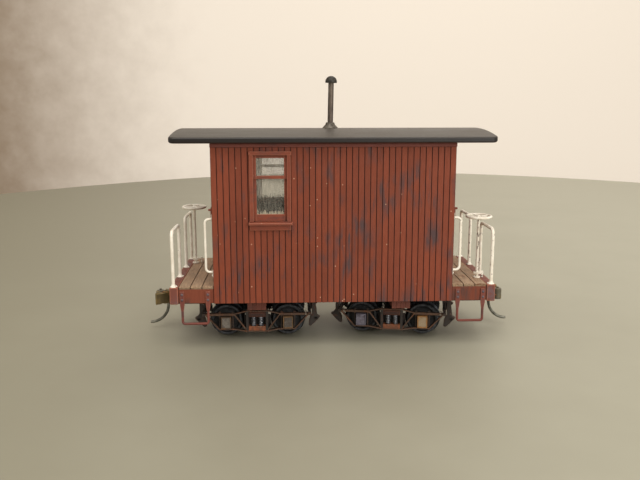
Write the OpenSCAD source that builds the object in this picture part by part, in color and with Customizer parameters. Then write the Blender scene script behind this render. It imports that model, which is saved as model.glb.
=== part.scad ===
/* [Body] */
// Length of the cabin over its end walls
body_l = 70; // [56:1:90]
// Width of the cabin over its side boards
body_w = 42; // [36:1:50]
// Height of the bottom of the side boards above the rail bearing line
sill_z = 13.6; // [13:0.1:16]
// Height of the side boards
siding_h = 45.3; // [38:0.5:60]
// Thickness of the side walls
side_wall_t = 1.4; // [1:0.1:2]
// Thickness of the end walls
end_wall_t = 1.4; // [1:0.1:2]
// Thickness of the floor
floor_t = 1.6; // [1:0.1:3]
// Depth of the trim strip under the eaves
fascia_h = 1.1; // [0.6:0.1:1.6]
// Thickness of the trim strip under the eaves
fascia_t = 0.5; // [0.3:0.1:1]

/* [Roof] */
// Overhang of the roof past each end wall
roof_over_end = 11.3; // [6:0.1:12]
// Overhang of the roof past each side wall
roof_over_side = 2.7; // [1:0.1:4]
// Radius of the arched top
roof_r = 150; // [100:1:400]
// Thickness of the roof
roof_t = 1.7; // [1.2:0.1:2.5]
// Radius of the roof's corners seen from above
roof_corner_r = 1.2; // [0.5:0.1:3]

/* [Windows and doors] */
// Place of the side windows along the cabin
window_x = -18.15; // [-22:0.05:22]
// Height of the sash opening's bottom above the side boards' bottom
window_up = 24.15; // [18:0.05:26]
// Width of the window opening
window_w = 9.6; // [6:0.1:12]
// Height of the window opening
window_h = 18.95; // [12:0.05:20]
// Width of the casing boards round the window
casing_w = 1.05; // [0.6:0.05:1.6]
// Stand-off of the casing from the side boards
casing_t = 0.7; // [0.4:0.05:1]
// Height of the sill
window_sill_h = 0.9; // [0.6:0.1:1.4]
// Projection of the sill from the side boards
window_sill_t = 1.5; // [0.8:0.1:1.8]
// Height of the apron board below the sill
apron_h = 1.6; // [0.8:0.1:2.5]
// Width of the sash's upright and top bars
stile_w = 0.85; // [0.5:0.05:1.2]
// Height of the sash's bottom bar
bottom_rail_h = 2; // [1:0.1:3]
// Height of the meeting bar between the two sashes
meeting_rail_h = 0.9; // [0.5:0.1:1.2]
// Thickness of each sash
sash_t = 0.6; // [0.4:0.05:0.7]
// Thickness of the glazing
glass_t = 0.25; // [0.2:0.05:0.4]
// Width of the end doors
door_w = 13.4; // [10:0.1:16]
// Height of the end doors
door_h = 37.2; // [30:0.1:40]
// Thickness of the end doors
door_t = 1; // [0.8:0.1:1.4]
// Width of the frame boards round each door
door_casing_w = 1.2; // [0.8:0.1:2]
// Size of the door's glass, across and up
door_glass = [7.4, 12]; // [4:0.1:16]

/* [Platforms] */
// Length of each platform's deck
deck_l = 10.2; // [8:0.1:10.5]
// Thickness of the deck planks
deck_t = 0.8; // [0.5:0.1:1.2]
// Height of the top of the deck above the side boards' bottom
deck_up = 5.05; // [4.5:0.05:6]
// Count of deck planks on each platform
planks = 3; // [2:1:5]
// Gap between neighbouring deck planks
plank_gap = 0.16; // [0.1:0.02:0.4]
// Thickness of the end beams along the car
beam_t = 2.5; // [1.5:0.1:3]
// Height of the end beams
beam_h = 5.1; // [4:0.1:6]
// Thickness of the platform's side sills
platform_sill_t = 1.7; // [1:0.1:2.5]

/* [Railings, steps and grab irons] */
// Diameter of the railing wire
rail_d = 1.05; // [0.7:0.05:1.4]
// Height of the railing over the end beam
rail_h = 16.8; // [12:0.1:20]
// Half spacing of the outer posts across the car
rail_outer_y = 20; // [17:0.1:20.4]
// Half spacing of the inner posts across the car
rail_inner_y = 6.8; // [5:0.1:9]
// Radius of the bends of the railing
rail_bend_r = 1.7; // [1:0.1:3]
// Distance between the two arms of a step
step_w = 7.5; // [5:0.1:8]
// Height of the bottom of the step above the rail bearing line
step_z = 7.2; // [5:0.1:9]
// Diameter of the step wire
step_d = 0.8; // [0.6:0.05:1]
// Width of the flat part of each step arm
strap_w = 1.3; // [1:0.1:2]
// Thickness of the flat part of each step arm
strap_t = 0.5; // [0.3:0.05:0.8]
// Diameter of the grab iron wire
grab_d = 0.7; // [0.5:0.05:1]
// Stand-off of the grab irons from the end walls
grab_off = 2.1; // [1.2:0.1:3]
// Height of the grab irons
grab_h = 15.5; // [10:0.5:17]
// Height of the lamp brackets' middle above the deck
bracket_up = 21.5; // [20:0.1:26]

/* [Brake wheels and stove pipe] */
// Diameter of the brake wheels
brake_wheel_d = 8; // [5:0.1:9]
// Diameter of the brake wheel's rim wire
brake_rim_d = 0.8; // [0.5:0.05:1]
// Height of the brake wheels above the deck
brake_up = 18.9; // [14:0.1:22]
// Diameter of the brake staffs
staff_d = 0.9; // [0.6:0.05:1.4]
// Place of each brake staff across the car, on the rear right and the front left corners
brake_y = 12.5; // [9:0.1:15]
// Diameter of the stove pipe
pipe_d = 1.7; // [1.2:0.1:3]
// Height of the stove pipe's top above the roof's ridge
pipe_h = 15.9; // [8:0.1:20]
// Diameter of the domed cap
cap_d = 3.6; // [2.4:0.1:5]
// Diameter of the stove pipe's foot
pipe_foot_d = 4.7; // [3:0.1:7]

/* [Trucks] */
// Distance between the two truck pivots
truck_centres = 43.7; // [43:0.1:60]
// Place of the trucks' middle along the car, left of the body's middle when negative
truck_shift = -1.05; // [-2:0.05:2]
// Yaw of the right hand truck as the car stands
right_yaw = -11; // [-12:0.5:12]
// Distance between a truck's two axles
wheelbase = 18.8; // [18.8:0.1:21]
// Diameter of the wheel tread
tread_d = 9.6; // [9:0.1:10]
// Height of the wheel flange over the tread
flange_h = 0.64; // [0.4:0.02:0.8]
// Distance between the backs of a wheel pair
back_to_back = 14.4; // [14:0.1:14.6]
// Width of a wheel
wheel_w = 2.8; // [2.4:0.1:3]
// Diameter of the axle in the wheels
axle_d = 2; // [1.6:0.1:2.4]
// Diameter of the axle's journals
journal_d = 1.2; // [0.8:0.1:1.6]
// Radial clearance of a journal in its box
journal_clear = 0.05; // [0.02:0.01:0.1]
// Half spacing of the journal box backs across the truck
box_back_y = 11.1; // [10.8:0.1:12]
// Depth, width and height of a journal box
box_size = [3, 2.9, 3.8]; // [2:0.1:5]
// Thickness of the arch bars
bar_t = 0.5; // [0.4:0.05:0.7]
// Width of the arch bars
bar_w = 1.6; // [1:0.1:2]
// Rise of the top arch bar over the middle of the truck
arch_rise = 0.8; // [0.3:0.1:0.9]
// Thickness of the column posts along the truck
column_t = 0.8; // [0.6:0.1:1.2]
// Clear width between the columns
column_gap = 5.2; // [4.6:0.1:7]
// Outer diameter of the truck springs
spring_d = 1.6; // [1.2:0.1:2]
// Spacing of the two springs along the truck
spring_pitch = 2.25; // [2:0.05:3.5]
// Diameter of the pivot screws
pivot_d = 2; // [1.6:0.1:2.6]
// Radial clearance of a pivot screw in the truck bolster
pivot_clear = 0.05; // [0.02:0.01:0.1]
// Half width of the body bolsters across the car
body_bolster_y = 15; // [12:0.5:19]
// Distance from the truck's middle to the ends of its side frames
frame_end_x = 15.35; // [15.1:0.05:16]
// Thickness of the cross bar at each end of a truck
end_bar_t = 0.9; // [0.6:0.1:1.2]
// Distance from the truck's middle line to the brake hangers
shoe_y = 8; // [7.6:0.1:8.6]
// Width of the brake shoes and hangers
shoe_w = 1.4; // [1:0.1:1.8]

/* [Couplers] */
// Height of the coupler's centre above the tread line
coupler_up = 9.92; // [9.6:0.02:10.1]
// Distance from the body's end to the coupler's pivot
coupler_pivot_out = 7; // [6:0.1:9]
// Length, width and height of the coupler pocket
pocket_size = [10.5, 7.2, 3.4]; // [3:0.1:12]
// Wall of the coupler pocket
pocket_wall = 0.7; // [0.5:0.1:0.8]
// Width and height of the coupler shank
shank_size = [2.2, 1.5]; // [1:0.1:2.5]
// Reach of the coupler knuckle's face from the pivot
knuckle_reach = 13.6; // [12:0.1:15]
// Height of the coupler head
head_h = 4; // [3:0.1:4.4]
// Diameter of the curved trip pin
trip_d = 0.9; // [0.7:0.05:1]
// Bend radius of the trip pin
trip_r = 5.9; // [4:0.1:6.2]

/* [Hidden] */
$fn = 48;
SIDES = [-1, 1];
// A hair's breadth between pieces that are pressed or glued together round a shaft
fit = 0.01;
// Gap between faces that slide on each other
slide = 0.05;

half_l = body_l / 2;
half_w = body_w / 2;
siding_top = sill_z + siding_h;
floor_top = sill_z + floor_t;
deck_top = sill_z + deck_up;
roof_l = body_l + 2 * roof_over_end;
roof_w = body_w + 2 * roof_over_side;
eave_z = siding_top + fascia_h;
// Centre height of the roof's arch, so that its underside meets the eave line at the edge
roof_under_r = roof_r - roof_t;
roof_centre_z = eave_z - sqrt(roof_under_r * roof_under_r - roof_w * roof_w / 4);
ridge_z = roof_centre_z + roof_r;
window_z = sill_z + window_up;

wheel_r = tread_d / 2;
flange_r = wheel_r + flange_h;
axle_z = flange_r;
half_wb = wheelbase / 2;
truck_x = truck_centres / 2;

beam_x = half_l + deck_l + 0.1;
beam_z = deck_top - 0.15 - beam_h;
platform_y = half_w - strap_t;
rail_x = beam_x + beam_t / 2 + 0.15;

box_bottom = axle_z - box_size[2] / 2;
box_top = box_bottom + box_size[2];
bar_y = box_back_y + 0.6;
column_x = (column_gap + column_t) / 2;
arch_top_z = box_top + 2 * bar_t + arch_rise;
bolster_z = box_top - 0.2;
bolster_top = arch_top_z - bar_t - slide;
plank_z = box_bottom - bar_t - 0.65;
plank_h = 1.7;
spring_z = plank_z + plank_h;
body_bolster_z = arch_top_z + 0.3;
hanger_top_z = sill_z - 1;

coupler_z = coupler_up + flange_h;
coupler_pivot_x = half_l + coupler_pivot_out;
pocket_x = coupler_pivot_x - 3.5;
pocket_z = coupler_z - pocket_size[2] / 2;
shank_end = beam_x + beam_t + 2;
head_x = coupler_pivot_x + 9.2;

// ---- shared shapes ----

function unit(v) = v / norm(v);

function edge_normal(a, b) = let (d = unit(b - a)) [-d[1], d[0]];

// Offset direction at point i of a path, long enough to keep the strip's thickness
function mitre(path, i) =
    let (last = len(path) - 1,
         n1 = i > 0 ? edge_normal(path[i - 1], path[i]) : edge_normal(path[0], path[1]),
         n2 = i < last ? edge_normal(path[i], path[i + 1]) : n1,
         m = unit(n1 + n2))
    m / (m * n1);

// Outline of a flat bar of thickness t bent along a path
function strip(path, t) = concat(
    [for (i = [0 : len(path) - 1]) path[i] + mitre(path, i) * t / 2],
    [for (i = [len(path) - 1 : -1 : 0]) path[i] - mitre(path, i) * t / 2]);

// A flat outline drawn along X and Z, given its thickness from y0 to y1
module across(y0, y1) {
    translate([0, y1, 0]) rotate([90, 0, 0]) linear_extrude(y1 - y0) children();
}

// A flat outline drawn along Y and Z, given its thickness from x0 to x1
module along(x0, x1) {
    translate([x0, 0, 0]) rotate([90, 0, 90]) linear_extrude(x1 - x0) children();
}

module block(low, high) {
    translate(low) cube(high - low);
}

// Both ends of the car: as drawn at the right, and turned half round at the left
module both_ends() {
    for (turn = [0, 180]) rotate([0, 0, turn]) children();
}

module mirrored(axis) {
    children();
    mirror(axis) children();
}

// A quarter bend of wire from straight up to straight along +X, starting at the origin
module wire_bend(bend_r, d) {
    translate([bend_r, 0, 0]) rotate([90, 0, 0]) rotate([0, 0, 90])
        rotate_extrude(angle = 90) translate([bend_r, 0]) circle(d = d, $fn = 24);
}

// ---- cabin ----

// The space below the roof's underside
module under_roof() {
    along(-half_l - 1, half_l + 1) intersection() {
        translate([0, roof_centre_z]) circle(r = roof_under_r, $fn = 360);
        translate([-half_w, sill_z - 1]) square([body_w, ridge_z - sill_z]);
    }
}

module side_wall(side) {
    color("#7a4435") difference() {
        intersection() {
            block([-half_l, side > 0 ? half_w - side_wall_t : -half_w, sill_z],
                [half_l, side > 0 ? half_w : side_wall_t - half_w, ridge_z]);
            under_roof();
        }
        block([window_x - window_w / 2, -half_w - 1, window_z],
            [window_x + window_w / 2, half_w + 1, window_z + window_h]);
    }
}

module end_wall(side) {
    inner = half_l - end_wall_t;
    color("#74402f") difference() {
        intersection() {
            block([side > 0 ? inner : -half_l, side_wall_t - half_w, sill_z],
                [side > 0 ? half_l : -inner, half_w - side_wall_t, ridge_z]);
            under_roof();
        }
        block([side * half_l - 2 * end_wall_t, -door_w / 2, deck_top + 0.6],
            [side * half_l + 2 * end_wall_t, door_w / 2, deck_top + 0.6 + door_h]);
    }
}

module near_side_wall() side_wall(-1);

module far_side_wall() side_wall(1);

module left_end_wall() end_wall(-1);

module right_end_wall() end_wall(1);

module cabin_floor() {
    color("#3c2a22") block([end_wall_t - half_l, side_wall_t - half_w, sill_z],
        [half_l - end_wall_t, half_w - side_wall_t, floor_top]);
}

module roof() {
    bore_r = pipe_d / 2 + fit;
    color("#26262a") difference() {
        intersection() {
            along(-roof_l / 2, roof_l / 2) intersection() {
                difference() {
                    translate([0, roof_centre_z]) circle(r = roof_r, $fn = 360);
                    translate([0, roof_centre_z]) circle(r = roof_under_r, $fn = 360);
                }
                translate([-roof_w / 2, eave_z - 1]) square([roof_w, ridge_z]);
            }
            roof_plan();
        }
        translate([0, 0, eave_z]) cylinder(r = bore_r, h = 10);
    }
}

// Plan of the roof: a rectangle with round corners
module roof_plan() {
    x = roof_l / 2 - roof_corner_r;
    y = roof_w / 2 - roof_corner_r;
    translate([0, 0, sill_z]) linear_extrude(2 * ridge_z) {
        square([2 * x, roof_w], center = true);
        square([roof_l, 2 * y], center = true);
        for (i = SIDES, j = SIDES) translate([i * x, j * y]) circle(r = roof_corner_r, $fn = 12);
    }
}

module eave_fascia() {
    color("#5c3327") mirrored([0, 1, 0])
        block([-half_l, half_w, siding_top], [half_l, half_w + fascia_t, eave_z]);
}

// ---- windows and doors ----

module window_casings() {
    wide = window_w / 2 + casing_w;
    sill_wide = wide + 0.4;
    low = window_z - window_sill_h;
    color("#7a4435") mirrored([0, 1, 0]) translate([window_x, 0, 0]) {
        difference() {
            block([-wide, half_w, window_z],
                [wide, half_w + casing_t, window_z + window_h + casing_w]);
            block([-window_w / 2, half_w - 1, window_z - 1],
                [window_w / 2, half_w + 2, window_z + window_h]);
        }
        block([-sill_wide, half_w, low], [sill_wide, half_w + window_sill_t, window_z]);
        block([-wide, half_w, low - apron_h], [wide, half_w + casing_t * 0.8, low]);
    }
}

// One sash: a frame with upright bars, a top bar and a bottom bar, from y0 outward
module sash(low, high, foot, head, y0) {
    difference() {
        block([-window_w / 2, y0, low], [window_w / 2, y0 + sash_t, high]);
        block([stile_w - window_w / 2, y0 - 1, low + foot],
            [window_w / 2 - stile_w, y0 + sash_t + 1, high - head]);
    }
}

sash_in_y = half_w - side_wall_t + 0.05;
meet_z = window_z + window_h * 0.645;

module window_sashes() {
    top = window_z + window_h;
    color("#8a5142") mirrored([0, 1, 0]) translate([window_x, 0, 0]) {
        sash(window_z, meet_z + meeting_rail_h, bottom_rail_h, meeting_rail_h, sash_in_y);
        sash(meet_z, top, meeting_rail_h, stile_w, sash_in_y + sash_t);
    }
}

module window_panes() {
    top = window_z + window_h;
    mid = (sash_t - glass_t) / 2;
    half = window_w / 2 - stile_w;
    color("#b9c6c4", 0.5) mirrored([0, 1, 0]) translate([window_x, 0, 0]) {
        block([-half, sash_in_y + mid, window_z + bottom_rail_h],
            [half, sash_in_y + mid + glass_t, meet_z]);
        block([-half, sash_in_y + sash_t + mid, meet_z + meeting_rail_h],
            [half, sash_in_y + sash_t + mid + glass_t, top - stile_w]);
    }
}

door_z = deck_top + 0.6;
door_glass_z = door_z + door_h - door_glass[1] - 4;
door_x = half_l - 0.2 - door_t;

module door(turn) {
    glass_y = door_glass[0] / 2;
    color("#74402f") rotate([0, 0, turn]) difference() {
        block([door_x, -door_w / 2, door_z], [door_x + door_t, door_w / 2, door_z + door_h]);
        block([door_x - 1, -glass_y, door_glass_z],
            [door_x + door_t + 1, glass_y, door_glass_z + door_glass[1]]);
    }
}

module left_door() door(180);

module right_door() door(0);

module door_panes() {
    glass_y = door_glass[0] / 2;
    mid = door_x + (door_t - glass_t) / 2;
    color("#b9c6c4", 0.5) both_ends()
        block([mid, -glass_y, door_glass_z],
            [mid + glass_t, glass_y, door_glass_z + door_glass[1]]);
}

module door_casings() {
    wide = door_w / 2 + door_casing_w;
    color("#6c3a2c") both_ends() difference() {
        block([half_l, -wide, deck_top], [half_l + 0.6, wide, door_z + door_h + door_casing_w]);
        block([half_l - 1, -door_w / 2, door_z], [half_l + 2, door_w / 2, door_z + door_h]);
    }
}

// Latch plate and knob on each door
module door_handles() {
    color("#5a2f26") both_ends() translate([door_x + door_t, door_w / 2 - 1.5, door_z + 20]) {
        block([0, -0.6, -1.5], [0.3, 0.6, 1.5]);
        rotate([0, 90, 0]) cylinder(d = 0.6, h = 1.5, $fn = 24);
        translate([1.5, 0, 0]) rotate([0, 90, 0]) cylinder(d = 1.4, h = 0.7, $fn = 24);
    }
}

// ---- platforms ----

module deck() {
    pitch = deck_l / planks;
    color("#8d8272") for (i = [0 : planks - 1])
        block([half_l + i * pitch + plank_gap / 2, 0.4 - half_w, deck_top - deck_t],
            [half_l + (i + 1) * pitch - plank_gap / 2, half_w - 0.4, deck_top]);
}

module left_deck() rotate([0, 0, 180]) deck();

module right_deck() deck();

module end_beams() {
    color("#6e3a2c") both_ends()
        block([beam_x, -half_w, beam_z], [beam_x + beam_t, half_w, beam_z + beam_h]);
}

module platform_sills() {
    color("#7a4435") both_ends() mirrored([0, 1, 0])
        block([half_l, platform_y - platform_sill_t, sill_z],
            [beam_x, platform_y, deck_top - deck_t]);
}

// Pair of middle sills under each platform, with the flat pad that the pocket is screwed to
module centre_sills() {
    pad_x = pocket_x;
    color("#4a2c22") both_ends() {
        for (side = SIDES)
            block([half_l, side * 3.4 - 0.9, sill_z], [beam_x, side * 3.4 + 0.9, deck_top - deck_t]);
        block([pad_x, -pocket_size[1] / 2, pocket_z + pocket_size[2]],
            [beam_x + beam_t, pocket_size[1] / 2, beam_z]);
        block([pad_x, -pocket_size[1] / 2, beam_z], [beam_x, pocket_size[1] / 2, sill_z]);
    }
}

// One step stirrup on the right hand end, its outer face at +Y
module stirrup() {
    mid_x = half_l + deck_l / 2 + 0.35;
    bend_r = 1.3;
    strap_z = sill_z - 1.8;
    foot = step_z + step_d / 2;
    wire_y = platform_y + strap_t / 2;
    translate([mid_x, 0, 0]) {
        mirrored([1, 0, 0]) {
            block([-step_w / 2 - strap_w / 2, platform_y, strap_z],
                [-step_w / 2 + strap_w / 2, platform_y + strap_t, deck_top - deck_t - 0.6]);
            translate([-step_w / 2, wire_y, foot + bend_r])
                cylinder(d = step_d, h = strap_z - foot - bend_r + 0.5, $fn = 24);
            translate([-step_w / 2, wire_y, foot + bend_r]) mirror([0, 0, 1])
                wire_bend(bend_r, step_d);
        }
        translate([bend_r - step_w / 2, wire_y, foot]) rotate([0, 90, 0])
            cylinder(d = step_d, h = step_w - 2 * bend_r, $fn = 24);
    }
}

module near_steps() {
    color("#7a4435") mirrored([1, 0, 0]) mirror([0, 1, 0]) stirrup();
}

module far_steps() {
    color("#7a4435") mirrored([1, 0, 0]) stirrup();
}

// ---- railings, grab irons and brake gear ----

// Inverted U of wire between two posts on the right hand end beam
module railing_hoop() {
    wide = rail_outer_y - rail_inner_y;
    foot = beam_z + beam_h;
    bar_z = foot + rail_h - rail_d / 2;
    post_h = rail_h - rail_d / 2 - rail_bend_r;
    color("#d9d6cb") translate([rail_x, 0, 0]) {
        translate([0, rail_inner_y + wide / 2, 0]) mirrored([0, 1, 0]) {
            translate([0, -wide / 2, foot]) cylinder(d = rail_d, h = post_h, $fn = 24);
            translate([0, -wide / 2, foot + post_h]) rotate([0, 0, 90])
                wire_bend(rail_bend_r, rail_d);
        }
        translate([0, rail_inner_y + rail_bend_r, bar_z]) rotate([-90, 0, 0])
            cylinder(d = rail_d, h = wide - 2 * rail_bend_r, $fn = 24);
    }
}

module left_near_railing() mirror([1, 0, 0]) mirror([0, 1, 0]) railing_hoop();

module left_far_railing() mirror([1, 0, 0]) railing_hoop();

module right_near_railing() mirror([0, 1, 0]) railing_hoop();

module right_far_railing() railing_hoop();

module grab_irons() {
    low = deck_top + 4.2;
    bend_r = 0.8;
    y = half_w - 1.2;
    leg = grab_off - bend_r;
    color("#cfc8b4") mirrored([1, 0, 0]) mirrored([0, 1, 0]) translate([half_l, y, 0]) {
        translate([grab_off, 0, low + bend_r])
            cylinder(d = grab_d, h = grab_h - 2 * bend_r, $fn = 24);
        for (up = [0, 1]) translate([0, 0, low + up * grab_h]) mirror([0, 0, up]) {
            rotate([0, 90, 0]) cylinder(d = grab_d, h = leg, $fn = 24);
            translate([leg + bend_r, 0, bend_r]) rotate([0, -90, 0]) rotate([0, 0, 180])
                wire_bend(bend_r, grab_d);
        }
    }
}

// Small lamp brackets on the end walls, above the grab irons: a strap with a round peg
module lamp_brackets() {
    strap = [0.35, 0.8, 2.6];
    y = half_w - 1.2;
    color("#5a2f26") mirrored([1, 0, 0]) mirrored([0, 1, 0])
        translate([half_l, y, deck_top + bracket_up]) {
            translate([0, -strap[1] / 2, -strap[2] / 2]) cube(strap);
            translate([0, 0, strap[2] / 2 - 0.4]) rotate([0, 90, 0])
                cylinder(d = 0.7, h = 1.4, $fn = 24);
        }
}

staff_x = half_l + deck_l - 0.9;

module brake_staffs() {
    color("#cfc8b4") both_ends() translate([staff_x, -brake_y, deck_top]) {
        cylinder(d = staff_d, h = brake_up - 0.5);
        cylinder(d = 2.2, h = 0.5);
        translate([0, 0, 1.2]) cylinder(d = 2, h = 0.6);
    }
}

module brake_wheels() {
    rim_r = (brake_wheel_d - brake_rim_d) / 2;
    color("#d9d6cb") both_ends() translate([staff_x, -brake_y, deck_top + brake_up]) {
        rotate_extrude() translate([rim_r, 0]) circle(d = brake_rim_d, $fn = 24);
        translate([0, 0, -0.5]) cylinder(d = 1.6, h = 1);
        for (i = [0 : 4]) rotate([0, 0, i * 72]) rotate([0, 90, 0])
            cylinder(d = 0.6, h = rim_r, $fn = 24);
    }
}

// ---- stove pipe ----

module stove_pipe() {
    foot_h = 1.3;
    foot_z = ridge_z + 0.35;
    color("#45454a") {
        translate([0, 0, ridge_z]) cylinder(d = pipe_foot_d, h = foot_z - ridge_z);
        translate([0, 0, foot_z]) cylinder(d1 = pipe_foot_d - 0.4, d2 = 2.6, h = foot_h);
        translate([0, 0, ridge_z - roof_t - 1]) cylinder(d = pipe_d, h = pipe_h + roof_t - 1);
    }
}

module stove_pipe_cap() {
    color("#3b3b40") translate([0, 0, ridge_z + pipe_h - 2]) intersection() {
        translate([0, 0, 0.1]) scale([1, 1, 1]) sphere(d = cap_d);
        cylinder(d = cap_d + 1, h = 2);
    }
}

// ---- trucks ----

// Places a truck's parts at its pivot, turned as it stands
module at_truck(side) {
    translate([side * truck_x + truck_shift, 0, 0]) rotate([0, 0, side > 0 ? right_yaw : 0]) children();
}

module body_bolsters() {
    wide = 2.8;
    plate_r = 2.4;
    color("#7a4435") for (side = SIDES) translate([side * truck_x + truck_shift, 0, 0]) difference() {
        union() {
            block([-wide, -body_bolster_y, body_bolster_z], [wide, body_bolster_y, sill_z]);
            translate([0, 0, bolster_top + slide])
                cylinder(r = plate_r, h = body_bolster_z - bolster_top);
        }
        translate([0, 0, 1]) cylinder(d = pivot_d + 2 * fit, h = sill_z - 2.4);
    }
}

// Screws that hold the trucks, their heads below the truck bolsters
module pivot_screws() {
    head_h = 0.9;
    color("#8a8578") for (side = SIDES) translate([side * truck_x + truck_shift, 0, 0]) {
        translate([0, 0, bolster_z - slide - head_h]) cylinder(r = 1.9, h = head_h);
        translate([0, 0, bolster_z - slide - 0.1])
            cylinder(d = pivot_d, h = sill_z - 1.5 - bolster_z);
    }
}

// Arch bar side frame with its columns and journal boxes, its back face at +Y box_back_y
module side_frame() {
    box_x = half_wb + box_size[0] / 2 + 0.6;
    near_x = half_wb - box_size[0] / 2 - 1.1;
    top = box_top + 1.5 * bar_t;
    low = box_bottom - 0.5 * bar_t;
    foot = plank_z + 0.5 * bar_t;
    difference() {
        union() {
            across(bar_y, bar_y + bar_w) {
                // top arch bar
                polygon(strip([[-frame_end_x, top], [-near_x, top],
                    [-column_x - 0.4, top + arch_rise], [column_x + 0.4, top + arch_rise],
                    [near_x, top], [frame_end_x, top]], bar_t));
                // inverted arch bar
                polygon(strip([[-frame_end_x, top - bar_t], [-near_x, top - bar_t],
                    [-column_x, foot], [column_x, foot], [near_x, top - bar_t],
                    [frame_end_x, top - bar_t]], bar_t));
                // tie bar under the boxes, its ends bent up to the arch bars
                polygon(strip([[-frame_end_x, top - bar_t], [-box_x, low], [-near_x, low],
                    [-column_x - 0.3, foot], [column_x + 0.3, foot], [near_x, low], [box_x, low],
                    [frame_end_x, top - bar_t]], bar_t));
                for (side = SIDES) translate([side * column_x - column_t / 2, foot])
                    square([column_t, top + arch_rise - foot]);
            }
            for (i = SIDES) {
                translate([i * half_wb - box_size[0] / 2, box_back_y, box_bottom]) cube(box_size);
                for (j = SIDES) translate([i * half_wb + j * (box_size[0] / 2 + 0.55),
                    bar_y + bar_w / 2, low]) cylinder(d = 0.5, h = top - low, $fn = 24);
            }
        }
        for (i = SIDES) translate([i * half_wb, box_back_y - 1, axle_z]) rotate([-90, 0, 0])
            cylinder(d = journal_d + 2 * journal_clear, h = 3);
    }
}

module truck_side_frames(side) {
    color("#4c4037") at_truck(side) mirrored([0, 1, 0]) side_frame();
}

module truck_bolster(side) {
    half = column_gap / 2 - slide;
    reach = bar_y + bar_w;
    color("#3e342d") at_truck(side) difference() {
        block([-half, -reach, bolster_z], [half, reach, bolster_top]);
        translate([0, 0, bolster_z - 1]) cylinder(d = pivot_d + 2 * pivot_clear, h = 5);
    }
}

// Spring planks clamped between the columns on the bars' low middle
module truck_spring_planks(side) {
    half = column_gap / 2 - slide;
    color("#8d5236") at_truck(side) mirrored([0, 1, 0])
        block([-half, bar_y - 0.3, plank_z + bar_t], [half, bar_y + bar_w, spring_z]);
}

module truck_springs(side) {
    color("#56606a") at_truck(side)
        for (i = SIDES, j = SIDES)
            translate([i * spring_pitch / 2, j * (bar_y + bar_w / 2), spring_z])
                cylinder(d = spring_d, h = bolster_z - spring_z);
}

// Brake gear at both ends of each truck: cross bar, beam, and a hanger with its shoe at each wheel
module truck_brakes(side) {
    bar_x = frame_end_x + 0.05;
    bar_z = box_top + 0.35;
    beam_at = bar_x + 1.9;
    tip = axle_z + 0.45;
    color("#5b4030") at_truck(side) mirrored([1, 0, 0]) {
        // cross bar between the ends of the side frames
        block([bar_x, -bar_y - bar_w, bar_z], [bar_x + end_bar_t, bar_y + bar_w, bar_z + 0.8]);
        // brake beam
        block([beam_at, -shoe_y - shoe_w, tip - 0.8], [beam_at + 1.1, shoe_y + shoe_w, tip]);
        // hanger and shoe in line with each wheel
        mirrored([0, 1, 0]) across(shoe_y, shoe_y + shoe_w)
            polygon([[bar_x + 0.85, bar_z], [bar_x + 1.3, hanger_top_z], [bar_x + 2.3, hanger_top_z],
                [bar_x + 2.9, tip + 0.6], [bar_x + 3.8, tip], [bar_x + 3.1, tip - 0.8],
                [bar_x + 0.9, tip - 3], [bar_x + 0.2, tip - 2.8], [bar_x + 0.35, tip - 1.2]]);
    }
}

module left_truck_side_frames() truck_side_frames(-1);

module left_truck_bolster() truck_bolster(-1);

module left_truck_spring_planks() truck_spring_planks(-1);

module left_truck_springs() truck_springs(-1);

module left_truck_brakes() truck_brakes(-1);

module right_truck_side_frames() truck_side_frames(1);

module right_truck_bolster() truck_bolster(1);

module right_truck_spring_planks() truck_spring_planks(1);

module right_truck_springs() truck_springs(1);

module right_truck_brakes() truck_brakes(1);

// Half section of one wheel, as radius and distance from the truck's middle
module wheel_section() {
    back = back_to_back / 2;
    face = back + wheel_w;
    bore = axle_d / 2 + fit;
    polygon([[bore, back], [flange_r - 0.15, back], [flange_r, back + 0.2],
        [flange_r, back + 0.45], [wheel_r + 0.05, back + 0.8], [wheel_r - 0.1, face],
        [wheel_r - 0.95, face], [wheel_r - 1.1, face - 0.7], [1.9, face - 0.7],
        [1.7, face + 0.1], [bore, face + 0.1]]);
}

module wheels(side, place) {
    color("#2c2c30") at_truck(side) translate([place * half_wb, 0, axle_z]) mirrored([0, 1, 0])
        rotate([-90, 0, 0]) rotate_extrude($fn = 96) wheel_section();
}

module axle(side, place) {
    half = box_back_y + 1.6;
    seat = back_to_back / 2 + wheel_w + 0.1;
    color("#55504a") at_truck(side) translate([place * half_wb, 0, axle_z]) rotate([90, 0, 0]) {
        translate([0, 0, -seat]) cylinder(d = axle_d, h = 2 * seat);
        translate([0, 0, -half]) cylinder(d = journal_d, h = 2 * half);
    }
}

module left_outer_wheels() wheels(-1, -1);

module left_outer_axle() axle(-1, -1);

module left_inner_wheels() wheels(-1, 1);

module left_inner_axle() axle(-1, 1);

module right_inner_wheels() wheels(1, -1);

module right_inner_axle() axle(1, -1);

module right_outer_wheels() wheels(1, 1);

module right_outer_axle() axle(1, 1);

// ---- couplers ----

// Closed box under each platform, with a mouth at its outer end and a post for the coupler
module coupler_pockets() {
    wide = pocket_size[1] / 2;
    post_d = 1.8;
    color("#4d4438") both_ends() {
        difference() {
            block([pocket_x, -wide, pocket_z],
                [pocket_x + pocket_size[0], wide, pocket_z + pocket_size[2]]);
            block([pocket_x + pocket_wall, pocket_wall - wide, pocket_z + pocket_wall],
                [pocket_x + pocket_size[0] + 1, wide - pocket_wall,
                    pocket_z + pocket_size[2] - pocket_wall]);
        }
        translate([coupler_pivot_x, 0, pocket_z + pocket_wall / 2])
            cylinder(d = post_d, h = pocket_size[2] - pocket_wall);
    }
}

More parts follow.
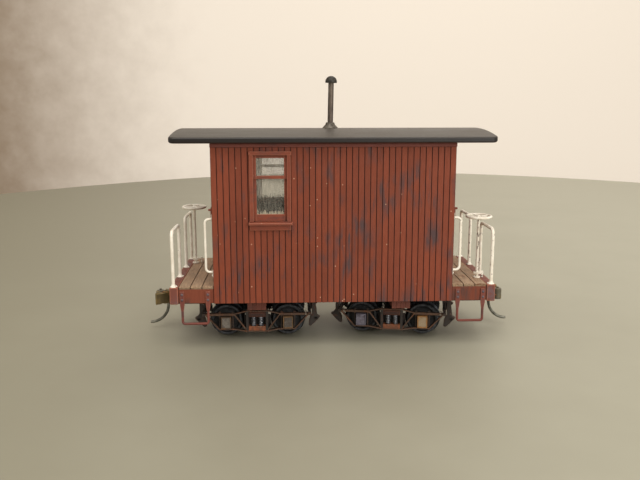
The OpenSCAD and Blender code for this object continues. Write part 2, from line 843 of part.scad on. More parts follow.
module coupler_head(turn) {
    bore = 1.8 + 2 * slide;
    half = shank_size[0] / 2;
    color("#7c6a45") rotate([0, 0, turn]) {
        difference() {
            union() {
                translate([0, 0, coupler_z - shank_size[1] / 2]) linear_extrude(shank_size[1]) {
                    translate([coupler_pivot_x, 0]) circle(r = half + 0.4);
                    translate([coupler_pivot_x, -half]) square([head_x - coupler_pivot_x + 0.5, 2 * half]);
                }
                translate([0, 0, coupler_z - head_h / 2]) linear_extrude(head_h)
                    polygon([[head_x, -half], [head_x + 1, -half - 0.9], [head_x + 1.7, -half - 0.9],
                        [head_x + 1.7, 0.3], [head_x + 2.2, 1.6], [head_x + 4.2, 3.2],
                        [head_x + 3.8, 3.9], [head_x + 1.2, 2.6], [head_x, half]]);
            }
            translate([coupler_pivot_x, 0, coupler_z - 2]) cylinder(d = bore, h = 4);
        }
    }
}

// The hooked knuckle beside the guard arm
module coupler_knuckle(turn) {
    tip = coupler_pivot_x + knuckle_reach;
    tall = head_h - 0.5;
    color("#8a774c") rotate([0, 0, turn]) translate([0, 0, coupler_z - tall / 2])
        linear_extrude(tall) {
            polygon([[head_x + 1.75, -2.1], [head_x + 3.1, -2.4], [tip - 0.4, -1.9],
                [tip, -1.2], [tip, 0], [tip - 0.6, 0.5], [tip - 1.3, 0.3],
                [tip - 1.2, -0.7], [head_x + 2.5, -0.9], [head_x + 1.75, -0.6]]);
        }
}

module trip_pin(turn) {
    x = head_x - 0.3;
    top = coupler_z - head_h / 2;
    straight = 0.6;
    color("#5b5a55") rotate([0, 0, turn]) translate([x + 0.9, 0, 0]) {
        translate([0, 0, top - straight]) cylinder(d = trip_d, h = straight, $fn = 24);
        translate([0, 0, top - straight]) mirror([0, 0, 1]) wire_bend(trip_r, trip_d);
    }
}

module left_coupler_head() coupler_head(180);

module left_coupler_knuckle() coupler_knuckle(180);

module left_trip_pin() trip_pin(180);

module right_coupler_head() coupler_head(0);

module right_coupler_knuckle() coupler_knuckle(0);

module right_trip_pin() trip_pin(0);

// ---- drawing ----

near_side_wall();
far_side_wall();
left_end_wall();
right_end_wall();
cabin_floor();
roof();
eave_fascia();
window_casings();
window_sashes();
window_panes();
left_door();
right_door();
door_panes();
door_casings();
door_handles();
left_deck();
right_deck();
end_beams();
platform_sills();
centre_sills();
near_steps();
far_steps();
left_near_railing();
left_far_railing();
right_near_railing();
right_far_railing();
grab_irons();
lamp_brackets();
brake_staffs();
brake_wheels();
stove_pipe();
stove_pipe_cap();
body_bolsters();
pivot_screws();
coupler_pockets();
left_truck_side_frames();
left_truck_bolster();
left_truck_spring_planks();
left_truck_springs();
left_truck_brakes();
right_truck_side_frames();
right_truck_bolster();
right_truck_spring_planks();
right_truck_springs();
right_truck_brakes();
left_outer_wheels();
left_outer_axle();
left_inner_wheels();
left_inner_axle();
right_inner_wheels();
right_inner_axle();
right_outer_wheels();
right_outer_axle();
left_coupler_head();
left_coupler_knuckle();
left_trip_pin();
right_coupler_head();
right_coupler_knuckle();
right_trip_pin();
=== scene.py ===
"""A small wooden caboose on two arch bar trucks, put together piece by piece on its frame."""

import math
import random

import bmesh
import bpy
from mathutils import Matrix, Vector


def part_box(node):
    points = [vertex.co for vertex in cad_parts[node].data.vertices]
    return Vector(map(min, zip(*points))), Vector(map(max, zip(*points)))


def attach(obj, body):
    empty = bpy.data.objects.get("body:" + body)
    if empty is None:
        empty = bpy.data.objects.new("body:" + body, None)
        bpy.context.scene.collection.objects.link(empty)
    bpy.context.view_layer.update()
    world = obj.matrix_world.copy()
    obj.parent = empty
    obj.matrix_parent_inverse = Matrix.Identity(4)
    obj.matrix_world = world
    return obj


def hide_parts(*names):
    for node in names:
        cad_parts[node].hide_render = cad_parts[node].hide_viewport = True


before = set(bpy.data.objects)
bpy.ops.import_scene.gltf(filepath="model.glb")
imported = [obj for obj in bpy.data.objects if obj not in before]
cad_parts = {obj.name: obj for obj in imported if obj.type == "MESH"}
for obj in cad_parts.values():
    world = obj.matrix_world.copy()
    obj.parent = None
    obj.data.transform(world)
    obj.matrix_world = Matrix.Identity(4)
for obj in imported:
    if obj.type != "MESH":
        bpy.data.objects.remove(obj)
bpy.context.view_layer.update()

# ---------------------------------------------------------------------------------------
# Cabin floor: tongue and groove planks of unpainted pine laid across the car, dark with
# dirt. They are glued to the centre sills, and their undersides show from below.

MM = 0.001


def box(node):
    """Lowest and highest corner of a CAD node, in millimetres."""
    return [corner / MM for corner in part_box(node)]


def colour(red, green, blue):
    """A paint colour as mixed, 0 to 255 each, as light for a shader."""
    parts = [c / 255 for c in (red, green, blue)]
    return [c / 12.92 if c < 0.04 else ((c + 0.055) / 1.055) ** 2.4 for c in parts] + [1]


class Piece:
    """The shapes of one piece, drawn in millimetres and joined into one mesh."""

    def __init__(self):
        self.mesh = bmesh.new()
        self.eased = self.mesh.edges.layers.float.new("bevel_weight_edge")

    def add(self, points, faces, eased=0.0):
        """Faces on numbered points. eased is the share of the piece's bevel on their edges."""
        corners = [self.mesh.verts.new(p) for p in points]
        for face in faces:
            for edge in self.mesh.faces.new([corners[i] for i in face]).edges:
                edge[self.eased] = eased
        return corners

    def prism(self, outline, start, end, along="y", eased=1.0):
        """A flat outline given thickness from start to end."""
        turn = {
            "x": lambda a, b, c: (c, a, b),
            "y": lambda a, b, c: (a, c, b),
            "z": lambda a, b, c: (a, b, c),
        }[along]
        count = len(outline)
        points = [turn(a, b, c) for c in (start, end) for a, b in outline]
        sides = [(i, (i + 1) % count, count + (i + 1) % count, count + i) for i in range(count)]
        return self.add(points, [range(count), range(2 * count - 1, count - 1, -1), *sides], eased)

    def block(self, one, other, eased=1.0):
        """A box between two opposite corners, given in any order."""
        (x0, x1), (y0, y1), (z0, z1) = (sorted(pair) for pair in zip(one, other))
        return self.prism([(x0, z0), (x1, z0), (x1, z1), (x0, z1)], y0, y1, eased=eased)

    def rod(self, path, radius, sides=12, closed=False, flat=1.0, aside=None):
        """A bar of round section along a path. radius is one number, or one for each point;
        flat squeezes the section square to aside."""
        path = [Vector(p) for p in path]
        radii = radius if isinstance(radius, list) else [radius] * len(path)
        last = len(path) - 1
        aside = aside and Vector(aside)
        rings = []
        for i, point in enumerate(path):
            before = path[i - 1] if i or closed else point
            after = path[(i + 1) % len(path)] if i < last or closed else point
            ahead = (after - before).normalized()
            aside = aside or ahead.orthogonal()
            aside = (aside - ahead * aside.dot(ahead)).normalized()
            up = ahead.cross(aside) * flat
            angles = [math.tau * k / sides for k in range(sides)]
            ring = [point + radii[i] * (math.cos(a) * aside + math.sin(a) * up) for a in angles]
            rings.append([self.mesh.verts.new(p) for p in ring])
        pairs = list(zip(rings, rings[1:])) + ([(rings[-1], rings[0])] if closed else [])
        for one, two in pairs:
            for k in range(sides):
                m = (k + 1) % sides
                self.mesh.faces.new((one[k], one[m], two[m], two[k]))
        if not closed:
            self.mesh.faces.new(rings[0])
            self.mesh.faces.new(rings[-1])

    def turned(self, profile, foot, axis=(0, 0, 1), sides=24, closed=False):
        """A lathe shape: profile lists radius and height from the foot along the axis."""
        foot, axis = Vector(foot), Vector(axis).normalized()
        aside = axis.orthogonal().normalized()
        across = axis.cross(aside)
        rings = []
        for radius, height in profile:
            centre = foot + axis * height
            angles = [math.tau * k / sides for k in range(sides if radius else 1)]
            ring = [centre + radius * (math.cos(a) * aside + math.sin(a) * across) for a in angles]
            rings.append([self.mesh.verts.new(p) for p in ring])
        for one, two in list(zip(rings, rings[1:])) + ([(rings[-1], rings[0])] if closed else []):
            for k in range(sides):
                m = k + 1
                ring = (one[k % len(one)], one[m % len(one)], two[m % len(two)], two[k % len(two)])
                self.mesh.faces.new(list(dict.fromkeys(ring)))
        for ring in () if closed else (rings[0], rings[-1]):
            if len(ring) > 1:
                self.mesh.faces.new(ring)

    def nut(self, place, axis=(0, 0, 1), size=0.45, height=0.3):
        """A square nut with chamfered corners on the end of its bolt."""
        self.turned([(size * 0.92, 0), (size, 0.05), (size, height - 0.08),
                     (size * 0.85, height), (size * 0.45, height), (size * 0.42, height + 0.18),
                     (0, height + 0.22)], place, axis, sides=6)

    def rivet(self, place, axis, size=0.32, height=0.22):
        """A low domed head."""
        self.turned([(size, 0), (size * 0.98, height * 0.3), (size * 0.7, height * 0.8),
                     (0, height)], place, axis, sides=12)

    def made(self, name, body, slot, finishes, bevel=0.08, steps=2, replaces=(), place=None):
        """Turns the shapes into an object that rides on its body."""
        mesh = self.mesh
        bmesh.ops.recalc_face_normals(mesh, faces=mesh.faces)
        for edge in mesh.edges:
            if not edge.is_manifold or edge.calc_face_angle(0) < math.radians(30):
                edge[self.eased] = 0
        bmesh.ops.transform(mesh, matrix=place or Matrix(), verts=mesh.verts)
        bmesh.ops.scale(mesh, vec=(MM, MM, MM), verts=mesh.verts)
        data = bpy.data.meshes.new(name)
        mesh.to_mesh(data)
        mesh.free()
        data.shade_smooth()
        data.set_sharp_from_angle(angle=math.radians(38))
        for finish in finishes:
            data.materials.append(finish.material)
        made = bpy.data.objects.new(name, data)
        bpy.context.scene.collection.objects.link(made)
        if bevel:
            ease = made.modifiers.new("eased edges", "BEVEL")
            ease.width, ease.segments = bevel * MM, steps
            ease.limit_method, ease.use_clamp_overlap = "WEIGHT", False
            ease.harden_normals = True
            ease.material = 1 if len(finishes) > 1 else -1
        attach(made, body)
        if replaces:
            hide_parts(*replaces)
        return made


class Finish:
    """A material: one shader, with patterns measured in millimetres mixed into its inputs."""

    def __init__(self, name, **sockets):
        self.material = bpy.data.materials.new(name)
        self.material.use_nodes = True
        self.tree = self.material.node_tree
        self.shader = self.tree.nodes["Principled BSDF"]
        self.shade(**sockets)
        at = self.node("ShaderNodeTexCoord").outputs["Object"]
        scaled = self.node("ShaderNodeVectorMath", {"Vector": at, "Scale": 1 / MM},
                           operation="SCALE")
        self.place = scaled.outputs[0]

    def put(self, node, inputs):
        for key, value in inputs.items():
            if isinstance(value, bpy.types.NodeSocket):
                self.tree.links.new(value, node.inputs[key])
            else:
                node.inputs[key].default_value = value

    def shade(self, **sockets):
        """Sets or links the shader's inputs; an underscore stands for a space."""
        self.put(self.shader, {key.replace("_", " "): value for key, value in sockets.items()})

    def node(self, kind, inputs=None, **settings):
        made = self.tree.nodes.new(kind)
        for key, value in settings.items():
            setattr(made, key, value)
        self.put(made, inputs or {})
        return made

    def noise(self, size, stretch=(1, 1, 1), detail=3.0, offset=(0, 0, 0)):
        """Soft random blotches, size across, drawn out along each axis by stretch."""
        spread = self.node("ShaderNodeMapping", {
            "Vector": self.place, "Location": offset, "Scale": [1 / (size * s) for s in stretch]})
        return self.node("ShaderNodeTexNoise", {
            "Vector": spread.outputs[0], "Scale": 1.0, "Detail": detail, "Roughness": 0.6}
        ).outputs["Fac"]

    def specks(self, spacing, size, share=0.3):
        """Round dots of about that size, spacing apart, on a share of the places."""
        cells = self.node("ShaderNodeTexVoronoi", {"Vector": self.place, "Scale": 1 / spacing})
        near = self.level(cells.outputs["Distance"], size / spacing, 0.6 * size / spacing)
        pick = self.node("ShaderNodeSeparateColor", {"Color": cells.outputs["Color"]})
        return self.math("MULTIPLY", near, self.level(pick.outputs[0], share + 0.01, share))

    def level(self, pattern, low, high, start=0.0, end=1.0):
        """Stretches the part of a pattern between low and high to run from start to end."""
        return self.node("ShaderNodeMapRange", {
            "Value": pattern, "From Min": low, "From Max": high, "To Min": start, "To Max": end}
        ).outputs["Result"]

    def math(self, operation, one, two=0.0):
        made = self.node("ShaderNodeMath", operation=operation)
        self.put(made, {0: one, 1: two})
        return made.outputs[0]

    def mix(self, amount, under, over):
        made = self.node("ShaderNodeMix", data_type="RGBA", blend_type="MIX")
        self.put(made, {0: amount, 6: under, 7: over})
        return made.outputs[2]

    def each(self):
        """A number from 0 to 1 for each separate board or bar of the piece."""
        return self.node("ShaderNodeNewGeometry").outputs["Random Per Island"]

    def axis(self, letter):
        split = self.node("ShaderNodeSeparateXYZ", {"Vector": self.place})
        return split.outputs[letter]

    def relief(self, height, depth):
        """Lets a pattern stand proud of the surface by up to depth."""
        bump = self.node("ShaderNodeBump", {"Height": height, "Distance": depth * MM})
        self.put(self.shader, {"Normal": bump.outputs["Normal"]})


def raw_wood(name, pale, dark, grain_along, dirt=0.5):
    """Bare pine with fine grain, each board its own tone, darkened by dirt."""
    wood = Finish(name, Roughness=0.75, Specular_IOR_Level=0.25)
    stretch = [14 if letter == grain_along else 1 for letter in "XYZ"]
    grain = wood.noise(0.35, stretch, detail=5)
    blotch = wood.noise(3.5, detail=4)
    tone = wood.mix(wood.level(grain, 0.36, 0.68), colour(*dark), colour(*pale))
    tone = wood.mix(wood.level(blotch, 0.45, 0.75, 0, dirt), tone, colour(*dark))
    tone = wood.mix(wood.level(wood.each(), 0, 1, 0.0, 0.35), tone, colour(*dark))
    wood.shade(Base_Color=tone)
    wood.relief(grain, 0.05)
    return wood


floor_wood = raw_wood("floor wood", (86, 66, 52), (44, 34, 28), "Y")
floor_low, floor_high = box("cabin_floor")
plank_count = 21
floor_plank = (floor_high.x - floor_low.x) / plank_count
floor_gap = 0.08
chance = random.Random(7)

planks = Piece()
for i in range(plank_count):
    start = floor_low.x + i * floor_plank
    drop = chance.uniform(0, 0.06)
    planks.block((start + floor_gap / 2, floor_low.y, floor_low.z + drop),
                 (start + floor_plank - floor_gap / 2, floor_high.y, floor_high.z))
planks.made("cabin_floor_planks", "car", "dark_wood", [floor_wood], bevel=0.1, steps=1,
            replaces=["cabin_floor"])

# ---------------------------------------------------------------------------------------
# Centre sills: two timbers under each platform, with a flat pad between them to which the
# coupler pocket is screwed. Stained dark and left unpainted.

sill_high = box("centre_sills")[1]
platform_start = box("left_end_wall")[0].x
beam_low, beam_high = box("end_beams")
beam_depth = 2.5
beam_inner = beam_high.x - beam_depth
pocket_low, pocket_high = box("coupler_pockets")
sill_thick = 1.8
sill_apart = 3.4
pad_long = 6.5
bottom = floor_low.z

sills = Piece()
for end in (-1, 1):
    for side in (-1, 1):
        middle = side * sill_apart
        sills.block((end * -platform_start, middle - sill_thick / 2, bottom),
                    (end * beam_inner, middle + sill_thick / 2, sill_high.z))
    sills.block((end * (beam_inner - pad_long), pocket_low.y, pocket_high.z),
                (end * beam_inner, pocket_high.y, bottom))
    sills.block((end * beam_inner, pocket_low.y, pocket_high.z),
                (end * beam_high.x, pocket_high.y, beam_low.z))
sill_wood = raw_wood("sill wood", (92, 66, 52), (50, 36, 30), "X")
sills.made("platform_centre_sills", "car", "dark_wood", [sill_wood], bevel=0.12,
           replaces=["centre_sills"])

# ---------------------------------------------------------------------------------------
# Side walls: narrow grooved boards of basswood set upright, glued to a lining board and
# brushed with oxide red. The bevels of the grooves are painted dark, for dirt and for the
# shade in the grooves, and the paint is worn thin and blue-grey in long patches.


def oxide_paint(name, base, worn, wear=1.0, streak=(1, 1, 6), specks=True):
    """Flat oxide red that has dried out, with thin patches, faint streaks and pale dust."""
    paint = Finish(name, Roughness=0.62, Specular_IOR_Level=0.3)
    drift = paint.noise(9, detail=3)
    fine = paint.noise(0.5, streak, detail=5)
    lighter = [c * 1.22 for c in colour(*base)[:3]] + [1]
    darker = [c * 0.74 for c in colour(*base)[:3]] + [1]
    tone = paint.mix(paint.level(drift, 0.3, 0.7), darker, colour(*base))
    tone = paint.mix(paint.level(paint.each(), 0, 1, 0, 0.75), tone, lighter)
    tone = paint.mix(paint.level(fine, 0.42, 0.7, 0, 0.4), tone, darker)
    thin = paint.noise(1.7, streak, detail=5, offset=(7, 3, 1))
    where = paint.noise(8, (1, 1, 1.8), detail=2, offset=(3, 9, 4))
    thin = paint.math("MULTIPLY", paint.level(thin, 0.46, 0.6), paint.level(where, 0.48, 0.64))
    tone = paint.mix(paint.math("MULTIPLY", thin, 0.85 * wear), tone, colour(*worn))
    if specks:
        tone = paint.mix(paint.specks(2.4, 0.19, 0.45), tone, colour(206, 160, 132))
    paint.shade(Base_Color=tone, Roughness=paint.level(fine, 0.3, 0.7, 0.5, 0.75))
    paint.relief(paint.mix(0.5, fine, paint.noise(0.15, detail=2)), 0.03)
    return paint


siding_red = (121, 57, 35)
worn_grey = (66, 56, 58)
siding_paint = oxide_paint("oxide siding paint", siding_red, worn_grey)
# Dark red on the board bevels: dirt and painted shade in the grooves between boards.
groove_dirt_and_shade = oxide_paint("siding groove dirt and shade", (68, 33, 25), (48, 32, 30), specks=False)
lining_wood = raw_wood("lining wood", (78, 66, 56), (46, 38, 33), "Z")

wall_low, wall_high = box("near_side_wall")
pane_low, pane_high = box("window_sashes")
roof_low, roof_high = box("roof")
half_length, half_width = wall_high.x, -wall_low.y
window = (pane_low.x, pane_high.x, pane_low.z, pane_high.z)
board_pitch = 1.75
board_gap = 0.1
board_thick = 0.6
wall_thick = wall_high.y - wall_low.y
lined = half_length - 0.5
lining_gap = 0.04

# The roof's underside is an arch through its edge and its crown
arch_radius = 148.3
arch_centre = roof_low.z - math.sqrt(arch_radius**2 - roof_high.y**2)


def under_roof(y):
    return arch_centre + math.sqrt(arch_radius**2 - y * y)


# Boards and linings stop a hair under the roof
roof_gap = 0.05
wall_top = under_roof(half_width) - roof_gap


def board_outlines(start, end, foot, top, hole):
    """Upright boards from start to end, cut round a hole: outlines along and up the wall."""
    h0, h1, low, high = hole
    count = round((end - start) / board_pitch)
    for i in range(count):
        a = start + i * (end - start) / count + board_gap / 2
        b = start + (i + 1) * (end - start) / count - board_gap / 2
        crown = [(b, top(b)), (a, top(a))]
        if b <= h0 or a >= h1:
            yield [(a, foot), (b, foot), *crown]
        elif a >= h0 and b <= h1:
            yield [(a, foot), (b, foot), (b, low), (a, low)]
            yield [(a, high), (b, high), *crown]
        elif a < h0:
            yield [(a, foot), (b, foot), (b, low), (h0, low), (h0, high), (b, high), *crown]
        else:
            yield [(a, foot), (b, foot), *crown, (a, high), (h1, high), (h1, low), (a, low)]


for side_name, side in (("near", -1), ("far", 1)):
    face = side * half_width
    back = side * (half_width - board_thick)
    inside = side * (half_width - wall_thick)
    boards = Piece()
    for outline in board_outlines(-half_length, half_length, bottom,
                                  lambda x: wall_top, window):
        sunk = chance.uniform(0, 0.05) * side
        boards.prism(outline, face - sunk, back)
    for end in (-1, 1):
        boards.block((end * lined, back - side * 0.02, bottom),
                     (end * (half_length - 0.01), inside, wall_top))
    boards.made(f"{side_name}_side_boards", "car", "oxide_siding", [siding_paint, groove_dirt_and_shade],
                bevel=0.08, steps=1, replaces=[f"{side_name}_side_wall"])
    lining = Piece()
    left, right, low, high = window
    for x0, x1, z0, z1 in ((-lined, left, bottom, wall_top), (right, lined, bottom, wall_top),
                           (left, right, bottom, low), (left, right, high, wall_top)):
        lining.block((x0, back - side * lining_gap, z0), (x1, inside, z1), eased=0)
    lining.made(f"{side_name}_side_lining", "car", "dark_wood", [lining_wood], bevel=0)

# ---------------------------------------------------------------------------------------
# End walls: the same grooved boards, fitted between the side walls, cut to the arch of the
# roof and round the door opening.

end_low, end_high = box("right_end_wall")
door_low, door_high = box("right_door")
door_gap = (door_low.y, door_high.y, door_low.z, door_high.z)

for end_name, end in (("left", -1), ("right", 1)):
    face, back = end * half_length, end * (half_length - board_thick)
    inside = end * (half_length - wall_thick)
    boards = Piece()
    for outline in board_outlines(end_low.y, end_high.y, bottom,
                                  lambda y: under_roof(y) - roof_gap, door_gap):
        sunk = chance.uniform(0, 0.05) * end
        boards.prism(outline, face - sunk, back, along="x")
    boards.made(f"{end_name}_end_boards", "car", "oxide_siding", [siding_paint, groove_dirt_and_shade],
                bevel=0.11, steps=1, replaces=[f"{end_name}_end_wall"])
    lining = Piece()
    xs = sorted((back - end * lining_gap, inside))
    left, right, low, high = door_gap
    for y0, y1, z0, z1 in ((end_low.y, left, bottom, 0), (right, end_high.y, bottom, 0),
                           (left, right, bottom, low), (left, right, high, 0)):
        crown = [z1 or under_roof(y) - roof_gap for y in (y1, y0)]
        lining.prism([(y0, z0), (y1, z0), (y1, crown[0]), (y0, crown[1])], *xs, along="x", eased=0)
    lining.made(f"{end_name}_end_lining", "car", "dark_wood", [lining_wood], bevel=0)

# ---------------------------------------------------------------------------------------
# Roof: one sheet of wood bent over the cabin to a shallow arch, its edges and corners
# rounded, covered and painted satin black. Dust lies on the top. The edge faces are painted
# near black as shade, and faces turned downward are tinted reddish brown.


def roof_black_paint_and_shade():
    black = Finish("satin black roof paint and painted shade", Specular_IOR_Level=0.42)
    cloth = black.noise(0.3, detail=4)
    drift = black.noise(14, (1.6, 1, 1), detail=3)
    tone = black.mix(black.level(drift, 0.35, 0.7), colour(38, 33, 28), colour(58, 49, 39))
    tone = black.mix(black.level(cloth, 0.5, 0.8, 0, 0.3), tone, colour(72, 66, 60))
    tone = black.mix(black.specks(2.6, 0.13, 0.3), tone, colour(176, 164, 148))
    # Faces that do not point up are darkened to near black: painted shade on the roof's edges. Faces that
    # point down are tinted reddish brown.
    facing = black.node("ShaderNodeNewGeometry").outputs["Normal"]
    up = black.node("ShaderNodeSeparateXYZ", {"Vector": facing}).outputs["Z"]
    tone = black.mix(black.level(up, 0.62, 0.3), tone, colour(19, 13, 10))
    tone = black.mix(black.level(up, -0.4, -0.6), tone, colour(66, 40, 33))
    black.shade(Base_Color=tone, Roughness=black.level(drift, 0.3, 0.7, 0.38, 0.5))
    black.relief(black.mix(0.4, cloth, drift), 0.05)
    return black


roof_thick = 1.7
corner = 2.0
strips = 44
top_radius = arch_radius + roof_thick
edge_y = roof_high.y - corner
stations = [-edge_y + 2 * edge_y * i / strips for i in range(strips + 1)]
bend = [edge_y + corner * math.sin(math.radians(a)) for a in (15, 30, 45, 60, 75, 90)]
stations = [-y for y in reversed(bend)] + stations + bend
lengthwise = 12

roof = Piece()
shell = []
for y in stations:
    past = max(0.0, abs(y) - edge_y)
    reach = roof_high.x - corner + math.sqrt(max(0.0, corner**2 - past**2))
    row = []
    parts = 1 if past else lengthwise
    for i in range(parts + 1):
        x = reach * (2 * i / parts - 1)
        for radius in (top_radius, arch_radius):
            z = arch_centre + math.sqrt(radius**2 - y * y)
            row.append(roof.mesh.verts.new((x, y, z)))
    shell.append(row)
for one, two in zip(shell, shell[1:]):
    if len(one) == len(two) > 4:
        for i in range(0, 2 * lengthwise, 2):
            roof.mesh.faces.new((one[i], one[i + 2], two[i + 2], two[i]))
            roof.mesh.faces.new((one[i + 1], one[i + 3], two[i + 3], two[i + 1]))
    roof.mesh.faces.new((one[0], two[0], two[1], one[1]))
    roof.mesh.faces.new((one[-2], two[-2], two[-1], one[-1]))
for row in (shell[0], shell[-1]):
    roof.mesh.faces.new((row[0], row[2], row[3], row[1]))
for inner, *outer in (shell[len(bend)::-1], shell[-len(bend) - 1:]):
    for layer in (0, 1):
        ends = [row[layer - 2] for row in outer] + [row[layer] for row in reversed(outer)]
        roof.mesh.faces.new(inner[layer::2] + ends)
for edge in roof.mesh.edges:
    edge[roof.eased] = 1
roof.made("roof_sheet", "car", "roof_black", [roof_black_paint_and_shade()], bevel=0.5, steps=4,
          replaces=["roof"])

# ---------------------------------------------------------------------------------------
# Eave trim: a flat strip of stripwood along each side under the roof, over the board tops.

fascia_low, fascia_high = box("eave_fascia")
trim_red = (127, 63, 43)
trim_paint = oxide_paint("oxide trim paint", trim_red, worn_grey, wear=0.55, streak=(4, 4, 1))
trim_edge = oxide_paint("worn trim edge", (156, 96, 74), (120, 84, 72), wear=0.5, streak=(4, 4, 1))
# A darker, greyer copy of the trim paint: painted shade, for the eave trim under the roof edge and the
# step stirrups under the platforms.
painted_shade_trim = oxide_paint("eave paint in painted shade", (112, 60, 50), (80, 58, 58), wear=0.8, streak=(6, 1, 1))

fascia = Piece()
for side in (-1, 1):
    fascia.block((fascia_low.x, side * half_width, fascia_low.z),
                 (fascia_high.x, side * fascia_high.y, fascia_high.z - 0.02))
fascia.made("eave_trim", "car", "oxide_trim", [painted_shade_trim], bevel=0.12, replaces=["eave_fascia"])

# ---------------------------------------------------------------------------------------
# Window woodwork: casing boards round each side window, a sill with a weathered top and an
# apron under it, planted on the siding and painted with it.

casing_low, casing_high = box("window_casings")
casing_out = 0.7
sill_out = casing_high.y - half_width
casing_wide = 1.05
head_high = casing_high.z - window[3]
window_sill_high = 0.9
trim = [trim_paint, trim_edge]

casings = Piece()
for side in (-1, 1):
    def on_wall(x0, x1, z0, z1, out, eased=1.0, low_out=None):
        """A board planted on the siding. low_out thins its lower edge or slopes its top."""
        y0 = side * (half_width - 0.03)
        rise = low_out or out
        casings.prism([(y0, z0), (side * (half_width + out), z0),
                       (side * (half_width + out), z1 - (out - rise)), (y0, z1)],
                      x0, x1, along="x", eased=eased)

    left, right, low, high = window
    on_wall(left - casing_wide, left + 0.02, low, high + 0.1, casing_out)
    on_wall(right - 0.02, right + casing_wide, low, high + 0.1, casing_out)
    on_wall(left - casing_wide - 0.15, right + casing_wide + 0.15, high, high + head_high,
            casing_out + 0.12)
    on_wall(casing_low.x, casing_high.x, low - window_sill_high, low + 0.05, sill_out,
            low_out=sill_out - 0.35)
    on_wall(left - casing_wide, right + casing_wide, casing_low.z, low - window_sill_high + 0.02,
            casing_out * 0.8)
casings.made("window_casing_boards", "car", "oxide_trim", trim, bevel=0.13,
             replaces=["window_casings"])

# ---------------------------------------------------------------------------------------
# Sashes: two to each window, the upper one in front. Thin bars mitred round the panes, with
# a deep bottom bar on the lower sash.

glass_low, glass_high = box("window_panes")
sash_thick = 0.6
stile = 0.85
meet_high = 0.9
foot_high = glass_low.z - pane_low.z
meet = pane_low.z + (pane_high.z - pane_low.z) * 0.645
sash_back = half_width - wall_thick + 0.05

sashes = Piece()
for side in (-1, 1):
    for low, high, foot, head, back in (
            (window[2], meet + meet_high, foot_high, meet_high, sash_back),
            (meet, window[3], meet_high, stile, sash_back + sash_thick)):
        for x0, x1, z0, z1 in ((window[0], window[0] + stile, low, high),
                               (window[1] - stile, window[1], low, high),
                               (window[0] + stile, window[1] - stile, low, low + foot),
                               (window[0] + stile, window[1] - stile, high - head, high)):
            sashes.block((x0, side * back, z0), (x1, side * (back + sash_thick), z1))
sashes.made("window_sash_bars", "car", "oxide_trim", trim, bevel=0.1, replaces=["window_sashes"])

# ---------------------------------------------------------------------------------------
# Window glass: thin clear sheet, old and dirty. Dust has run down it in upright streaks and
# lies thickest along the bottom bars.


def dirty_glass():
    glass = Finish("dirty window glass", Roughness=0.14, Specular_IOR_Level=0.5)
    streak = glass.noise(0.32, (1, 1, 9), detail=4)
    smear = glass.noise(2.2, (1, 1, 1.5), detail=3)
    film = glass.level(streak, 0.38, 0.72, 0.16, 0.38)
    film = glass.math("ADD", film, glass.level(smear, 0.4, 0.8, 0.0, 0.16))
    height = glass.math("SUBTRACT", glass.axis("Z"), glass_low.z)
    uneven = glass.math("ADD", height,
                        glass.level(glass.noise(0.4, (1, 1, 5)), 0.3, 0.7, -0.9, 0.9))
    film = glass.math("MULTIPLY", film, glass.level(uneven, 4.6, 5.6, 0.4, 1))
    ragged = glass.math("ADD", height,
                        glass.level(glass.noise(0.5, (1, 1, 3)), 0.3, 0.7, -1.5, 1.6))
    drift = glass.level(ragged, 0.9, 0.1, 0, 0.5)
    amount = glass.math("MINIMUM", glass.math("ADD", film, drift), 0.95)
    tone = glass.mix(glass.level(streak, 0.4, 0.65), colour(150, 146, 134), colour(196, 188, 172))
    tone = glass.mix(drift, tone, colour(186, 168, 138))
    glass.shade(Base_Color=tone, Alpha=amount)
    return glass


window_glass = dirty_glass()
pane_thick = 0.25
sheets = Piece()
for side in (-1, 1):
    for low, high, back in ((window[2] + foot_high, meet, sash_back),
                            (meet + meet_high, window[3] - stile, sash_back + sash_thick)):
        middle = side * (back + sash_thick / 2)
        sheets.block((window[0] + stile, middle - pane_thick / 2, low),
                     (window[1] - stile, middle + pane_thick / 2, high), eased=0)
sheets.made("window_glass", "car", "clear_glass", [window_glass], bevel=0,
            replaces=["window_panes"])

# ---------------------------------------------------------------------------------------
# End doors: plank doors framed with stiles and rails, two sunk panels below and one pane
# above, hung in the end walls and painted oxide red.

door_stile, door_rail, panel_sunk = 1.6, 1.8, 0.35
knob_low, knob_high = box("door_handles")
door_glass_low, door_glass_high = box("door_panes")
pane_half = door_glass_high.y

for end_name, end in (("left", -1), ("right", 1)):
    face, back = end * door_high.x, end * door_low.x
    sunk = sorted((face - end * panel_sunk, back + end * panel_sunk))
    leaf = Piece()
    half = door_high.y - 0.08
    low, high = door_low.z + 0.08, door_high.z - 0.08
    middle = low + 10.5
    for y0, y1, z0, z1 in ((-half, -half + door_stile, low, high),
                           (half - door_stile, half, low, high)):
        leaf.block((face, y0, z0), (back, y1, z1))
    inner = half - door_stile
    glass_bottom, glass_top = door_glass_low.z, door_glass_high.z
    for z0, z1 in ((low, low + door_rail), (middle, middle + door_rail),
                   (glass_bottom - door_rail, glass_bottom), (glass_top, high)):
        leaf.block((face, -inner, z0), (back, inner, z1))
    for y0, y1 in ((-inner, -pane_half), (pane_half, inner)):
        leaf.block((face, y0, glass_bottom), (back, y1, glass_top))
    for z0, z1 in ((low + door_rail, middle), (middle + door_rail, glass_bottom - door_rail)):
        leaf.block((sunk[0], -inner, z0), (sunk[1], inner, z1), eased=0)
        leaf.block((sunk[0] - 0.15, -inner + 0.7, z0 + 0.7),
                   (sunk[1] + 0.15, inner - 0.7, z1 - 0.7))
    leaf.made(f"{end_name}_door_leaf", "car", "oxide_trim", trim, bevel=0.12,
              replaces=[f"{end_name}_door"])

